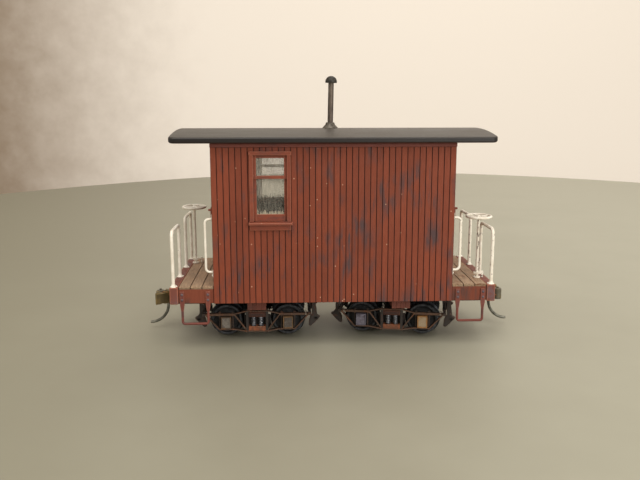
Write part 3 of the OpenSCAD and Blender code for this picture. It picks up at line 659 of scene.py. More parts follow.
panes, knobs, frames = Piece(), Piece(), Piece()
door_frame_low, door_frame_high = box("door_casings")
frame_wide = door_frame_high.y - door_high.y
for end in (-1, 1):
    middle = end * (door_low.x + door_high.x) / 2
    panes.block((middle - pane_thick / 2, -pane_half, door_glass_low.z),
                (middle + pane_thick / 2, pane_half, door_glass_high.z), eased=0)
    wide, high = door_frame_high.y, door_frame_high.z
    for y0, y1, z0, z1 in ((-wide, -door_high.y, door_frame_low.z, high - frame_wide),
                           (door_high.y, wide, door_frame_low.z, high - frame_wide),
                           (-wide, wide, high - frame_wide, high),
                           (-door_high.y, door_high.y, door_frame_low.z, door_low.z)):
        frames.block((end * (half_length - 0.03), y0, z0), (end * door_frame_high.x, y1, z1))
    latch = end * (door_high.y - 1.5)
    plate = door_high.x * end
    middle_z = (knob_low.z + knob_high.z) / 2
    knobs.block((plate, latch - 0.6, knob_low.z), (plate + end * 0.3, latch + 0.6, knob_high.z))
    knobs.turned([(0.32, 0), (0.28, 1.2), (0.5, 1.45), (0.7, 1.7), (0.68, 2.0), (0.4, 2.18),
                  (0, 2.2)], (plate, latch, middle_z), (end, 0, 0))
panes.made("door_glass", "car", "clear_glass", [window_glass], bevel=0, replaces=["door_panes"])
frames.made("door_frame_boards", "car", "oxide_trim", trim, bevel=0.13, replaces=["door_casings"])

knob_brass = Finish("tarnished knob", Metallic=0.8, Roughness=0.45)
knob_brass.shade(Base_Color=knob_brass.mix(knob_brass.level(knob_brass.noise(0.8), 0.4, 0.6),
                                           colour(92, 62, 44), colour(134, 104, 66)))
knobs.made("door_knobs", "car", "oxide_trim", [knob_brass], bevel=0.08, replaces=["door_handles"])

# ---------------------------------------------------------------------------------------
# Decks: three wide planks across each platform on thinner bearers. Bare wood gone grey and
# tan, with rust marks and a splintered near end on the right hand platform.


def deck_finish(name, pale, dark, stain):
    """Weathered plank: long grain across the car, blotches, rust stains and dirt."""
    wood = Finish(name, Roughness=0.8, Specular_IOR_Level=0.2)
    grain = wood.noise(0.3, (1, 16, 1), detail=5)
    blotch = wood.noise(2.6, (1, 1.6, 1), detail=4)
    rust = wood.noise(1.5, (2.2, 1, 1), detail=4, offset=(4, 8, 0))
    tone = wood.mix(wood.level(grain, 0.34, 0.66), colour(*dark), colour(*pale))
    tone = wood.mix(wood.level(blotch, 0.4, 0.7, 0, 0.45), tone, colour(152, 136, 118))
    tone = wood.mix(wood.level(wood.each(), 0, 1, 0, 0.3), tone, colour(*dark))
    right = wood.level(wood.axis("X"), 30, 36, 0.25, 1)
    marks = wood.math("MULTIPLY", wood.level(rust, 0.56, 0.66, 0, 0.75), right)
    tone = wood.mix(marks, tone, colour(*stain))
    wood.shade(Base_Color=tone)
    wood.relief(wood.mix(0.3, grain, blotch), 0.06)
    return wood


deck_top_wood = deck_finish("deck planks", (186, 156, 126), (132, 106, 84), (116, 72, 44))
deck_end_wood = deck_finish("deck plank edges", (176, 150, 118), (88, 66, 48), (96, 62, 40))
deck_low, deck_high = box("right_deck")
plank_count = 3
plank_wide = (deck_high.x + 0.08 - half_length) / plank_count
plank_gap = 0.2
bearer_high = 0.3

for end_name, end in (("left", -1), ("right", 1)):
    planks = Piece()
    rough = 0.32 if end > 0 else 0.06
    for i in range(plank_count):
        xs = sorted((end * (half_length + i * plank_wide + plank_gap / 2),
                     end * (half_length + (i + 1) * plank_wide - plank_gap / 2)))
        # each plank's near end is broken back by a different amount along its width
        teeth = 9
        near = [(xs[0] + (xs[1] - xs[0]) * k / teeth, deck_low.y + chance.uniform(0, rough))
                for k in range(teeth + 1)]
        outline = near + [(xs[1], deck_high.y - chance.uniform(0, 0.1)), (xs[0], deck_high.y)]
        lift = chance.uniform(0, 0.06)
        planks.prism(outline, deck_low.z + bearer_high + 0.04, deck_high.z - lift, along="z")
        planks.block((xs[0], deck_low.y + 0.12, deck_low.z), (xs[1], deck_high.y - 0.12,
                                                             deck_low.z + bearer_high))
        for y in (-half_width + 1.5, half_width - 1.5, -3.4, 3.4):
            for x in (xs[0] + 0.7, xs[1] - 0.7):
                planks.rivet((x, y, deck_high.z - lift - 0.03), (0, 0, 1), 0.13, 0.06)
    planks.made(f"{end_name}_deck_planks", "car", "deck_wood", [deck_top_wood, deck_end_wood],
                bevel=0.09, replaces=[f"{end_name}_deck"])

# ---------------------------------------------------------------------------------------
# End beams and platform sills: heavy painted timbers. The beams stand a little lower than
# the deck, and their top edges are worn round and pale.

beam_paint = oxide_paint("beam paint", (116, 66, 54), (104, 82, 84), wear=0.9, streak=(1, 5, 1))
beam_edge = oxide_paint("worn beam edge", (150, 92, 72), (128, 96, 88), wear=0.8, streak=(1, 5, 1))
beam_bolts, beam_bolt_z = (-13.5, -5.4, 5.4, 13.5), 16
beams = Piece()
for end in (-1, 1):
    beams.block((end * beam_inner, beam_low.y, beam_low.z),
                (end * beam_high.x, beam_high.y, beam_high.z))
    for y in beam_bolts:
        washer = (end * beam_high.x, y, beam_bolt_z)
        beams.turned([(0.7, 0), (0.7, 0.12), (0, 0.12)], washer, (end, 0, 0))
        beams.nut((end * (beam_high.x + 0.1), y, beam_bolt_z), (end, 0, 0), 0.42, 0.26)
beams.made("end_beam_timbers", "car", "oxide_trim", [beam_paint, beam_edge], bevel=0.3, steps=3,
           replaces=["end_beams"])

sill_box_low, sill_box_high = box("platform_sills")
platform_face = sill_box_high.y
platform_sill_thick = 1.7
sill_paint = oxide_paint("platform sill paint", (114, 57, 38), (72, 52, 46), specks=False)
side_sills = Piece()
for end in (-1, 1):
    for side in (-1, 1):
        inner = side * (platform_face - platform_sill_thick)
        side_sills.block((end * half_length, side * platform_face, sill_box_low.z),
                         (end * beam_inner, inner, sill_box_high.z))
side_sills.made("platform_sill_timbers", "car", "oxide_trim", [sill_paint], bevel=0.16,
                replaces=["platform_sills"])

# ---------------------------------------------------------------------------------------
# Steps: a stirrup under each end of the platform sills. Flat straps bolted to the sill,
# drawn down to round wire and bent into a square loop, painted with the car and chipped.

step_low, step_high = box("near_steps")
wire = 0.37
strap_wide, strap_thick = 1.3, 0.5
arm_apart = 7.5
arm_bend = 0.7
strap_bottom = bottom - 1.8
step_middle = (beam_inner - 0.1 + half_length) / 2 + 0.35


def quarter(centre, start, end, radius, turn, steps=7):
    """Points of a bend from one direction to another, turned into place by turn."""
    angles = [math.radians(start + (end - start) * k / steps) for k in range(steps + 1)]
    return [turn(centre[0] + radius * math.cos(a),
                 centre[1] + radius * math.sin(a)) for a in angles]


bolt_grey = oxide_paint("step bolt paint", (98, 82, 84), (70, 66, 74), specks=False)

for side_name, side in (("near", -1), ("far", 1)):
    stirrups, heads = Piece(), Piece()
    wire_y = side * (platform_face + strap_thick / 2)
    ys = sorted((side * platform_face, side * (platform_face + strap_thick)))
    for end in (-1, 1):
        middle = end * step_middle
        foot = step_low.z + wire
        a, b = middle - arm_apart / 2, middle + arm_apart / 2
        flat = lambda x, z: (x, wire_y, z)
        loop = [flat(a, strap_bottom + 0.3)]
        loop += quarter((a + arm_bend, foot + arm_bend), 180, 270, arm_bend, flat)
        loop += quarter((b - arm_bend, foot + arm_bend), 270, 360, arm_bend, flat)
        loop += [flat(b, strap_bottom + 0.3)]
        stirrups.rod(loop, wire)
        for x in (a, b):
            w = strap_wide / 2
            stirrups.prism([(x - w, step_high.z), (x - w, strap_bottom + 1.5),
                            (x - wire, strap_bottom - 0.4), (x + wire, strap_bottom - 0.4),
                            (x + w, strap_bottom + 1.5), (x + w, step_high.z)], *ys)
            for z in (step_high.z - 0.9, step_high.z - 2.5):
                heads.rivet((x, side * (platform_face + strap_thick - 0.04), z), (0, side, 0), 0.4,
                            0.24)
    # The stirrups wear the darker copy of the trim paint: painted shade under the platform.
    stirrups.made(f"{side_name}_step_stirrups", "car", "oxide_trim", [painted_shade_trim, trim_edge],
                  bevel=0.09, replaces=[f"{side_name}_steps"])
    heads.made(f"{side_name}_step_bolts", "car", "oxide_trim", [bolt_grey], bevel=0)

# ---------------------------------------------------------------------------------------
# Railings: hoops of half hard wire set into the end beams, brushed with thick white paint.
# It has flaked off in spots to dark metal, most of all on the right hand platform.


def chipped_white(name, chips=0.5):
    white = Finish(name, Roughness=0.5, Specular_IOR_Level=0.4)
    drift = white.noise(2.5, detail=3)
    flake = white.noise(0.55, (1, 1, 1.6), detail=5)
    tone = white.mix(white.level(drift, 0.35, 0.7), colour(226, 216, 198), colour(244, 238, 224))
    right = white.level(white.axis("X"), -20, 44, 0.69, 0.69 - 0.08 * chips)
    over = white.math("SUBTRACT", flake, right)
    tone = white.mix(white.level(over, -0.05, 0.0, 0, 0.4), tone, colour(180, 162, 140))
    bare = white.level(over, 0.0, 0.02)
    tone = white.mix(bare, tone, colour(82, 74, 66))
    white.shade(Base_Color=tone, Roughness=white.level(flake, 0.3, 0.7, 0.42, 0.6))
    white.relief(white.level(over, 0.02, -0.02), 0.06)
    return white


railing_paint = chipped_white("chipped white paint", 0.9)
bolt_paint = chipped_white("bolt paint", 0.3)
rail_wire = 0.5
rail_bend = 1.7
for end_name, end in (("left", -1), ("right", 1)):
    for side_name, side in (("near", -1), ("far", 1)):
        low, high = box(f"{end_name}_{side_name}_railing")
        hoop = Piece()
        x = (low.x + high.x) / 2
        y0, y1 = sorted((low.y + 0.525, high.y - 0.525), key=abs)
        top, foot = high.z - 0.525, low.z
        toward = math.copysign(1, y1 - y0)
        up = lambda y, z: (x + chance.uniform(-0.03, 0.03), y0 + toward * y, z)
        wide = abs(y1 - y0)
        path = [up(0, foot), up(0.02, foot + 5), up(-0.03, foot + 10)]
        path += quarter((rail_bend, top - rail_bend), 180, 90, rail_bend, up)
        path += [up(wide / 2, top + 0.02)]
        path += quarter((wide - rail_bend, top - rail_bend), 90, 0, rail_bend, up)
        path += [up(wide + 0.03, foot + 10), up(wide - 0.02, foot + 5), up(wide, foot)]
        hoop.rod(path, rail_wire, sides=14, aside=(1, 0, 0))
        for y in (y0, y1):
            hoop.turned([(0.95, -0.02), (0.95, 0.12), (0.62, 0.45), (0.5, 0.9)], (x, y, foot))
            hoop.rivet((x - end * 0.75, y - toward * 0.35, foot + 0.02), (0, 0, 1), 0.32, 0.4)
        hoop.made(f"{end_name}_{side_name}_railing_hoop", "car", "white_paint", [railing_paint],
                  bevel=0, replaces=[f"{end_name}_{side_name}_railing"])

# ---------------------------------------------------------------------------------------
# Grab irons and lamp brackets: on each end wall beside the corners. The irons are bent wire
# with flattened bolted feet; the brackets are a small strap with a round peg.

grab_low, grab_high = box("grab_irons")
grab_wire = 0.36
grab_y = half_width - 1.2
grab_bend = 1.1
bracket_low, bracket_high = box("lamp_brackets")
irons, brackets = Piece(), Piece()
for end in (-1, 1):
    for side in (-1, 1):
        y = side * grab_y
        wall = half_length - 0.05
        out = grab_high.x - 0.35
        low, high = grab_low.z + 0.35, grab_high.z - 0.35
        leg = lambda x, z: (end * x, y, z)
        path = [leg(wall, low)]
        path += quarter((out - grab_bend, low + grab_bend), -90, 0, grab_bend, leg)
        path += quarter((out - grab_bend, high - grab_bend), 0, 90, grab_bend, leg)
        path += [leg(wall, high)]
        irons.rod(path, grab_wire)
        for z in (low, high):
            drop = -1 if z == low else 1
            irons.block((end * wall, y - 0.45, z - 0.45 + min(drop, 0)),
                        (end * (half_length + 0.22), y + 0.45, z + 0.45 + max(drop, 0)))
            irons.rivet((end * (half_length + 0.2), y, z + drop), (end, 0, 0), 0.3, 0.3)
        brackets.block((end * (half_length - 0.03), y - 0.4, bracket_low.z),
                       (end * (half_length + 0.35), y + 0.4, bracket_high.z))
        peg_z = bracket_high.z - 0.4
        brackets.turned([(0.36, 0), (0.33, 0.6), (0.3, 0.75), (0.34, 0.85), (0.3, 0.95), (0, 0.97)],
                        (end * half_length, y, peg_z), (end, 0, 0), sides=16)
        brackets.rivet((end * (half_length + 0.33), y, bracket_low.z + 0.5), (end, 0, 0), 0.2, 0.14)
irons.made("grab_iron_wires", "car", "white_paint", [bolt_paint], bevel=0.08,
           replaces=["grab_irons"])
bracket_iron = oxide_paint("bracket paint", (116, 58, 42), (58, 46, 42), specks=False)
brackets.made("lamp_bracket_straps", "car", "oxide_trim", [bracket_iron], bevel=0.06,
              replaces=["lamp_brackets"])

# ---------------------------------------------------------------------------------------
# Hand brakes: a staff on one corner of each platform, with a ratchet wheel and its pawl at
# the deck, and a dished hand wheel of cast metal with five spokes at the top.

staff_high = box("brake_staffs")[1]
hand_low, hand_high = box("brake_wheels")
staff_x = staff_high.x - 1.1
staff_y = 12.5
hub_z = (hand_low.z + hand_high.z) / 2
rim_radius = 3.6
staff_iron = chipped_white("staff paint", 1.2)
staffs, hands = Piece(), Piece()
for end in (-1, 1):
    x, y = end * staff_x, -end * staff_y
    foot = deck_high.z
    staffs.turned([(1.1, 0), (1.1, 0.35), (0.75, 0.5), (0.5, 0.55), (0.45, 3), (0.4, 18.5),
                   (0, 18.6)], (x, y, foot), sides=16)
    teeth = 12
    ratchet = []
    for k in range(teeth):
        a, b = math.tau * k / teeth, math.tau * (k + 0.15) / teeth
        ratchet += [(x + 1.05 * math.cos(a), y + 1.05 * math.sin(a)),
                    (x + 0.8 * math.cos(b), y + 0.8 * math.sin(b))]
    staffs.prism(ratchet, foot + 1.15, foot + 1.75, along="z", eased=0.5)
    staffs.prism([(x + 0.9, y + 0.3), (x + 2, y + 0.9), (x + 2.2, y + 0.5), (x + 1, y - 0.1)],
                 foot + 1.2, foot + 1.6, along="z", eased=0.6)
    staffs.turned([(0.3, 0), (0.3, 1.9), (0, 2)], (x + 1.8, y + 0.65, foot), sides=12)
    ring = [(x + rim_radius * math.cos(math.tau * k / 40),
             y + rim_radius * math.sin(math.tau * k / 40),
             hub_z + 0.12 * math.sin(math.tau * k / 40)) for k in range(40)]
    hands.rod(ring, 0.4, sides=12, closed=True, aside=(0, 0, 1))
    hands.turned([(0.5, -0.5), (0.8, -0.4), (0.8, 0.15), (0.45, 0.25), (0.3, 0.45), (0, 0.5)],
                 (x, y, hub_z), sides=16)
    for k in range(5):
        a = math.tau * (k + 0.3) / 5
        spoke = [(x + r * math.cos(a + 0.12 * r / rim_radius),
                  y + r * math.sin(a + 0.12 * r / rim_radius),
                  hub_z - 0.15 + 0.15 * (r / rim_radius)) for r in (0.5, 1.5, 2.6, 3.5)]
        hands.rod(spoke, [0.34, 0.27, 0.25, 0.32], sides=10, aside=(0, 0, 1))
staffs.made("brake_staff_rods", "car", "white_paint", [staff_iron], bevel=0.06,
            replaces=["brake_staffs"])
hands.made("brake_hand_wheels", "car", "white_paint", [bolt_paint], bevel=0,
           replaces=["brake_wheels"])

# ---------------------------------------------------------------------------------------
# Stove pipe: a turned smoke jack of soft metal, stained brown by heat, standing a little
# out of true in a cone of flashing. The mushroom cap is hollow underneath.


def smoked_metal(name, pale, dark, rough=0.5):
    metal = Finish(name, Metallic=0.55, Roughness=rough)
    soot = metal.noise(1.6, (1, 1, 3), detail=4)
    fine = metal.noise(0.3, detail=4)
    tone = metal.mix(metal.level(soot, 0.35, 0.68), colour(*dark), colour(*pale))
    tone = metal.mix(metal.level(fine, 0.55, 0.75, 0, 0.5), tone, colour(150, 132, 112))
    metal.shade(Base_Color=tone, Roughness=metal.level(fine, 0.3, 0.7, rough - 0.1, rough + 0.15))
    metal.relief(fine, 0.03)
    return metal


cap_low, cap_high = box("stove_pipe_cap")
ridge = arch_centre + top_radius
lean = Matrix.Rotation(math.radians(1.2), 4, "Y")
stand = Matrix.Translation((0, 0, ridge)) @ lean
pipe_metal = smoked_metal("heat stained pipe", (112, 100, 88), (70, 60, 54))
cap_metal = smoked_metal("cap metal", (56, 53, 47), (34, 33, 30), 0.48)
flash_metal = smoked_metal("flashing metal", (112, 104, 92), (66, 60, 52), 0.4)

flashing = Piece()
flashing.turned([(2.35, -0.08), (2.38, 0.1), (2.2, 0.34), (1.5, 1.05), (1.32, 1.55), (1.34, 1.68),
                 (1.1, 1.75), (0.84, 1.6)], (0, 0, ridge), sides=40)
flashing.made("stove_pipe_flashing", "car", "stove_metal", [flash_metal], bevel=0)
pipe = Piece()
pipe_tall = cap_high.z - ridge
pipe.turned([(0.78, -2.6), (0.84, 0), (0.86, pipe_tall * 0.4), (0.83, pipe_tall - 1.0),
             (0.3, pipe_tall - 0.8)], (0, 0, 0), sides=28)
pipe.made("stove_pipe_tube", "car", "stove_metal", [pipe_metal], bevel=0, place=stand,
          replaces=["stove_pipe"])
cap = Piece()
cap_radius = (cap_high.x - cap_low.x) / 2
dome = [(cap_radius * math.cos(a), pipe_tall - 0.05 - cap_radius * 0.98 * (1 - math.sin(a)))
        for a in [math.radians(90 * k / 9) for k in range(-1, 9)]]
cap.turned([(0.8, pipe_tall - 0.7), (cap_radius * 0.78, pipe_tall - 1.25),
            (cap_radius * 0.86, pipe_tall - 1.95), *dome, (0, pipe_tall - 0.05)], (0, 0, 0), sides=36)
cap.made("stove_pipe_mushroom", "car", "stove_metal", [cap_metal], bevel=0, place=stand,
         replaces=["stove_pipe_cap"])

# ---------------------------------------------------------------------------------------
# Body bolsters, king pin screws and coupler pockets: red cross timbers under the floor on
# which the trucks turn, held by a steel screw from below. The pockets are cast boxes.

bolster_low, bolster_high = box("body_bolsters")
screw_low, screw_high = box("pivot_screws")
truck_at = {"left": -22.9, "right": 20.8}
bolster_half = 2.8
under_paint = oxide_paint("underframe paint", (112, 62, 50), (78, 56, 52), streak=(1, 6, 1))
under_edge = oxide_paint("worn underframe edge", (134, 82, 66), (90, 66, 60), specks=False)

timbers, screws = Piece(), Piece()
for x in truck_at.values():
    strips_across = 4
    wide = 2 * bolster_half / strips_across
    foot = bolster_low.z + 1.15
    for i in range(strips_across):
        start = x - bolster_half + i * wide
        timbers.block((start + 0.03, bolster_low.y, foot),
                      (start + wide - 0.03, bolster_high.y, bottom))
    timbers.turned([(1.05, foot - bolster_low.z), (1.05, 0), (2.3, 0), (2.4, 0.1),
                    (2.4, foot - bolster_low.z + 0.1)], (x, 0, bolster_low.z + 0.02), sides=36)
    head = screw_low.z
    screws.turned([(1.55, 0), (1.85, 0.15), (1.9, 0.3), (1.9, 0.9), (1.0, 0.9),
                   (1.0, screw_high.z - head)], (x, 0, head), sides=28)
    screws.block((x - 1.5, -0.22, head - 0.02), (x + 1.5, 0.22, head + 0.06), eased=0)
timbers.made("body_bolster_timbers", "car", "oxide_trim", [under_paint, under_edge], bevel=0.12,
             replaces=["body_bolsters"])


def worn_steel(name, pale, dark, metallic=0.85, rough=0.35, size=0.8):
    """Bare metal, brighter where it rubs and dull in patches."""
    steel = Finish(name, Metallic=metallic, Roughness=rough)
    dull = steel.noise(size, detail=5)
    fine = steel.noise(0.2, detail=3)
    steel.shade(Base_Color=steel.mix(steel.level(dull, 0.35, 0.65), colour(*dark), colour(*pale)),
                Roughness=steel.level(fine, 0.3, 0.7, rough, rough + 0.25))
    steel.relief(fine, 0.02)
    return steel


screw_steel = worn_steel("screw steel", (150, 146, 138), (92, 86, 78))
screws.made("king_pin_screws", "car", "axle_steel", [screw_steel], bevel=0.05,
            replaces=["pivot_screws"])

pocket_metal = worn_steel("pocket casting", (74, 62, 50), (40, 34, 29), 0.4, 0.5)
pockets = Piece()
pocket_wall = 0.7
coupler_pin_x = 42
pocket_behind, pocket_ahead = 3.5, 7
for end in (-1, 1):
    x0, x1 = end * (coupler_pin_x - pocket_behind), end * (coupler_pin_x + pocket_ahead)
    y, z0, z1 = pocket_high.y, pocket_low.z, pocket_high.z
    pockets.block((x0, -y, z0), (x1, y, z0 + pocket_wall))
    pockets.block((x0, -y, z1 - pocket_wall), (x1, y, z1 - 0.02))
    for side in (-1, 1):
        pockets.block((x0, side * y, z0 + pocket_wall),
                      (x1, side * (y - pocket_wall), z1 - pocket_wall))
    pockets.block((x0, pocket_wall - y, z0 + pocket_wall),
                  (end * (coupler_pin_x - pocket_behind + pocket_wall), y - pocket_wall,
                   z1 - pocket_wall))
    pockets.turned([(0.9, 0), (0.9, z1 - z0 - pocket_wall)],
                   (end * coupler_pin_x, 0, z0 + pocket_wall / 2))
    pockets.rivet((end * coupler_pin_x, 0, z0 + 0.01), (0, 0, -1), 0.8, 0.3)
pockets.made("coupler_pocket_castings", "car", "coupler_bronze", [pocket_metal], bevel=0.1,
             replaces=["coupler_pockets"])

# ---------------------------------------------------------------------------------------
# Truck side frames: thin steel bars bent into an arch and its opposite, bolted together
# over the cast journal boxes, with a post at each side of the bolster. Rust shows along
# their edges, and the box lids are bare metal in rusty rims.

frame_low, frame_high = box("left_truck_side_frames")
wheel_low, wheel_high = box("left_inner_wheels")
axle_z = (wheel_low.z + wheel_high.z) / 2
truck_half = 9.4
truck_yaw = -11
box_back = 11.1
bar_out, bar_thick = 1.6, 0.5
bar_seen = 0.34
bar_y = box_back + 0.6
box_wide, box_deep, box_tall = 3.0, 2.9, 3.8
box_foot = axle_z - box_tall / 2
box_head = box_foot + box_tall
rim, rim_foot = 0.3, box_foot + 0.1
column = 3.0
column_thick = 0.8
arch_rise = 0.8
frame_end = frame_high.x - truck_at["left"]
top_bar = box_head + 1.5 * bar_thick
low_bar = box_foot - 0.5 * bar_thick
plank_foot = frame_low.z
low_middle = plank_foot + bar_thick / 2 + 0.02


def strip(path, thick):
    """Outline of a flat bar of that thickness bent along a path."""
    def across(i):
        edges = [Vector(b) - Vector(a) for a, b in zip(path, path[1:])]
        before = edges[max(i - 1, 0)].normalized()
        after = edges[min(i, len(edges) - 1)].normalized()
        ahead = (before + after).normalized()
        return Vector((-ahead.y, ahead.x)) * thick / 2 / max(ahead.dot(after), 0.5)

    offsets = [across(i) for i in range(len(path))]
    upper = [Vector(p) + o for p, o in zip(path, offsets)]
    lower = [Vector(p) - o for p, o in zip(path, offsets)]
    return [tuple(p) for p in upper + lower[::-1]]


def rusty_iron(name, base, rust, edge, amount=0.5, metallic=0.25, rough=0.55):
    """Blackened iron with patches of brown rust and dust."""
    iron = Finish(name, Metallic=metallic, Roughness=rough)
    patch = iron.noise(1.6, detail=5)
    fine = iron.noise(0.35, detail=4)
    tone = iron.mix(iron.level(patch, 0.62 - 0.2 * amount, 0.7 - 0.1 * amount), colour(*base),
                    colour(*rust))
    tone = iron.mix(iron.level(fine, 0.56, 0.76, 0, 0.7), tone, colour(*edge))
    tone = iron.mix(iron.level(iron.each(), 0, 1, 0, 0.3), tone, colour(*base))
    iron.shade(Base_Color=tone, Roughness=iron.level(fine, 0.3, 0.7, rough - 0.1, rough + 0.2))
    iron.relief(fine, 0.04)
    return iron


bar_iron = rusty_iron("arch bar iron", (60, 48, 41), (96, 62, 43), (138, 102, 76), 0.4)
bar_edge = rusty_iron("arch bar edges", (110, 80, 60), (128, 82, 55), (176, 138, 104), 0.6)
post_iron = rusty_iron("column iron", (48, 42, 38), (70, 50, 40), (96, 80, 68), 0.3)
bolt_steel = worn_steel("frame bolt steel", (178, 168, 154), (104, 92, 80), 0.6)
lid_pale = rusty_iron("journal lid metal",
                      (124, 116, 108), (84, 76, 72), (206, 196, 182), 0.6, 0.45, 0.4)
lid_dull = rusty_iron("dull lid metal",
                      (88, 80, 74), (78, 64, 56), (196, 184, 168), 0.6, 0.45, 0.42)
lid_blue = rusty_iron("blued lid metal",
                      (118, 113, 126), (84, 78, 86), (206, 200, 208), 0.5, 0.5, 0.35)
lid_ochre = rusty_iron("ochre lid metal",
                       (158, 138, 112), (150, 112, 68), (212, 192, 160), 0.6, 0.35, 0.42)
rim_brown = rusty_iron("journal box iron", (88, 72, 58), (122, 88, 58), (170, 140, 106), 0.5)
rim_gold = rusty_iron("journal box rust", (112, 86, 58), (138, 100, 62), (176, 144, 104), 0.6)
rim_ochre = rusty_iron("journal box ochre rust", (156, 112, 66), (172, 120, 68), (196, 158, 108),
                       0.8)
box_looks = {("left", -1): (lid_pale, rim_brown), ("left", 1): (lid_dull, rim_gold),
             ("right", -1): (lid_blue, lid_blue), ("right", 1): (lid_ochre, rim_ochre)}


def truck_place(name):
    yaw = truck_yaw if name == "right" else 0
    return Matrix.Translation((truck_at[name], 0, 0)) @ Matrix.Rotation(math.radians(yaw), 4, "Z")


for name in ("left", "right"):
    bars, posts, bolts = Piece(), Piece(), Piece()
    boxes = {-1: Piece(), 1: Piece()}
    lids = {-1: Piece(), 1: Piece()}
    flat_start = truck_half - box_wide / 2 - 1.1
    arch = [(-frame_end, top_bar), (-flat_start, top_bar), (-column - 0.4, top_bar + arch_rise),
            (column + 0.4, top_bar + arch_rise), (flat_start, top_bar), (frame_end, top_bar)]
    under = top_bar - bar_seen
    inverted = [(-frame_end, under), (-flat_start, under), (-column, low_middle),
                (column, low_middle), (flat_start, under), (frame_end, under)]
    bend_x = truck_half + box_wide / 2 + 0.6
    tie = [(-frame_end, under), (-bend_x, low_bar), (-flat_start, low_bar),
           (-column - 0.3, low_middle), (column + 0.3, low_middle), (flat_start, low_bar),
           (bend_x, low_bar), (frame_end, under)]
    for out in (-1, 1):
        ys = sorted((out * bar_y, out * (bar_y + bar_out)))
        thin = sorted((out * (bar_y + 0.12), out * (bar_y + bar_out - 0.1)))
        bars.prism(strip(arch, bar_seen), *thin)
        bars.prism(strip(inverted, bar_seen), *thin)
        bars.prism(strip(tie, bar_seen), *ys)
        middle_y = out * (bar_y + bar_out / 2)
        for i in (-1, 1):
            posts.block((i * column - column_thick / 2, ys[0] + 0.1, low_middle),
                        (i * column + column_thick / 2, ys[1] - 0.15, top_bar + arch_rise))
            bars.nut((i * column, middle_y, top_bar + arch_rise + 0.2), (0, 0, 1), 0.42, 0.26)
            bars.nut((i * column, middle_y, low_middle - 0.2), (0, 0, -1), 0.4, 0.2)
            # journal box: a casting with a slightly waisted body
            x, half = i * truck_half, box_wide / 2
            front = out * (box_back + box_deep)
            y_in, y_out = sorted((out * box_back, front - out * 0.3))
            boxes[i].prism([(x - half + 0.1, box_foot), (x + half - 0.1, box_foot),
                            (x + half, box_foot + 0.5), (x + half, box_head),
                            (x - half, box_head), (x - half, box_foot + 0.5)], y_in, y_out)
            for x0, x1, z0, z1 in ((x - half, x - half + rim, rim_foot, box_head),
                                   (x + half - rim, x + half, rim_foot, box_head),
                                   (x - half + rim, x + half - rim, rim_foot, rim_foot + rim),
                                   (x - half + rim, x + half - rim, box_head - rim, box_head)):
                boxes[i].block((x0, front - out * 0.35, z0), (x1, front, z1))
            lids[i].block((x - half + rim, front - out * 0.4, rim_foot + rim),
                          (x + half - rim, front - out * 0.14, box_head - rim))
            lids[i].block((x - 0.45, front - out * 0.2, box_head - rim - 0.5),
                          (x + 0.45, front + out * 0.02, box_head - rim - 0.1))
            for j in (-1, 1):
                bolt_x = x + j * (half + 0.45)
                bars.rod([(bolt_x, middle_y, low_bar - 0.3), (bolt_x, middle_y, top_bar + 0.4)],
                         0.24, 8)
                bars.nut((bolt_x, middle_y, top_bar + 0.2), (0, 0, 1), 0.42, 0.3)
                bars.nut((bolt_x, middle_y, low_bar - 0.2), (0, 0, -1), 0.38, 0.18)
    place = truck_place(name)
    bars.made(f"{name}_truck_arch_bars", f"{name}_truck", "truck_black", [bar_iron, bar_edge],
              bevel=0.1, replaces=[f"{name}_truck_side_frames"], place=place)
    for end in (-1, 1):
        for out in (-1, 1):
            at_y = out * (bar_y + bar_out / 2)
            bolts.nut((end * (frame_end - 0.7), at_y, top_bar + bar_seen / 2 - 0.02),
                      (0, 0, 1), 0.42, 0.34)
            bolts.nut((end * (frame_end - 0.75), out * (bar_y + bar_out - 0.12), top_bar - 0.2),
                      (0, out, 0), 0.34, 0.2)
    posts.made(f"{name}_truck_columns", f"{name}_truck", "truck_black", [post_iron], bevel=0.08,
               place=place)
    bolts.made(f"{name}_truck_frame_bolts", f"{name}_truck", "truck_black", [bolt_steel],
               bevel=0.05, place=place)
    for i, spot in ((-1, "left"), (1, "right")):
        lid_look, box_look = box_looks[name, i]
        boxes[i].made(f"{name}_truck_{spot}_journal_boxes", f"{name}_truck", "rust", [box_look],
                      bevel=0.12, place=place)
        lids[i].made(f"{name}_truck_{spot}_journal_lids", f"{name}_truck", "truck_black",
                     [lid_look], bevel=0.1, place=place)

# ---------------------------------------------------------------------------------------
# Truck bolsters, spring planks and springs: a dark timber slides between the posts on two
# coil springs a side, which stand on a channel of rusty iron. A plank crosses between
# the side frames, with an upright plate behind the springs; both are near black, painted
# shade under the car with some dirt and rust on it.

spring_low, spring_high = box("left_truck_springs")
timber_low, timber_high = box("left_truck_bolster")
channel_low, channel_high = box("left_truck_spring_planks")
bolster_x = timber_high.x - truck_at["left"]
timber_paint = oxide_paint("truck bolster paint", (62, 40, 34), (48, 40, 38), specks=False)
timber_edge = oxide_paint("truck bolster edge", (98, 58, 42), (70, 52, 46), specks=False)
channel_rust = rusty_iron("spring plank rust",
                          (104, 66, 46), (140, 76, 44), (190, 156, 126), 0.8, 0.1, 0.75)
channel_edge = rusty_iron("spring plank edge",
                          (150, 92, 62), (176, 104, 66), (214, 180, 148), 0.9, 0.1, 0.7)
# Near black on the crossing plank and its upright plates: painted shade under the car, with some rust and
# dirt.
crossing_dirt_and_shade = rusty_iron("crossing plank dirt and painted shade",
                           (34, 28, 25), (52, 38, 30), (66, 54, 46), 0.4, 0.1, 0.8)
spring_steel = worn_steel("spring steel", (176, 178, 184), (84, 84, 88), 0.9, 0.26, 0.5)
coil_radius, coil_wire, coil_turns = 0.62, 0.17, 5
spring_apart = 2.25
plate_in, plate_out, plate_past = 11.15, 11.5, 1.1

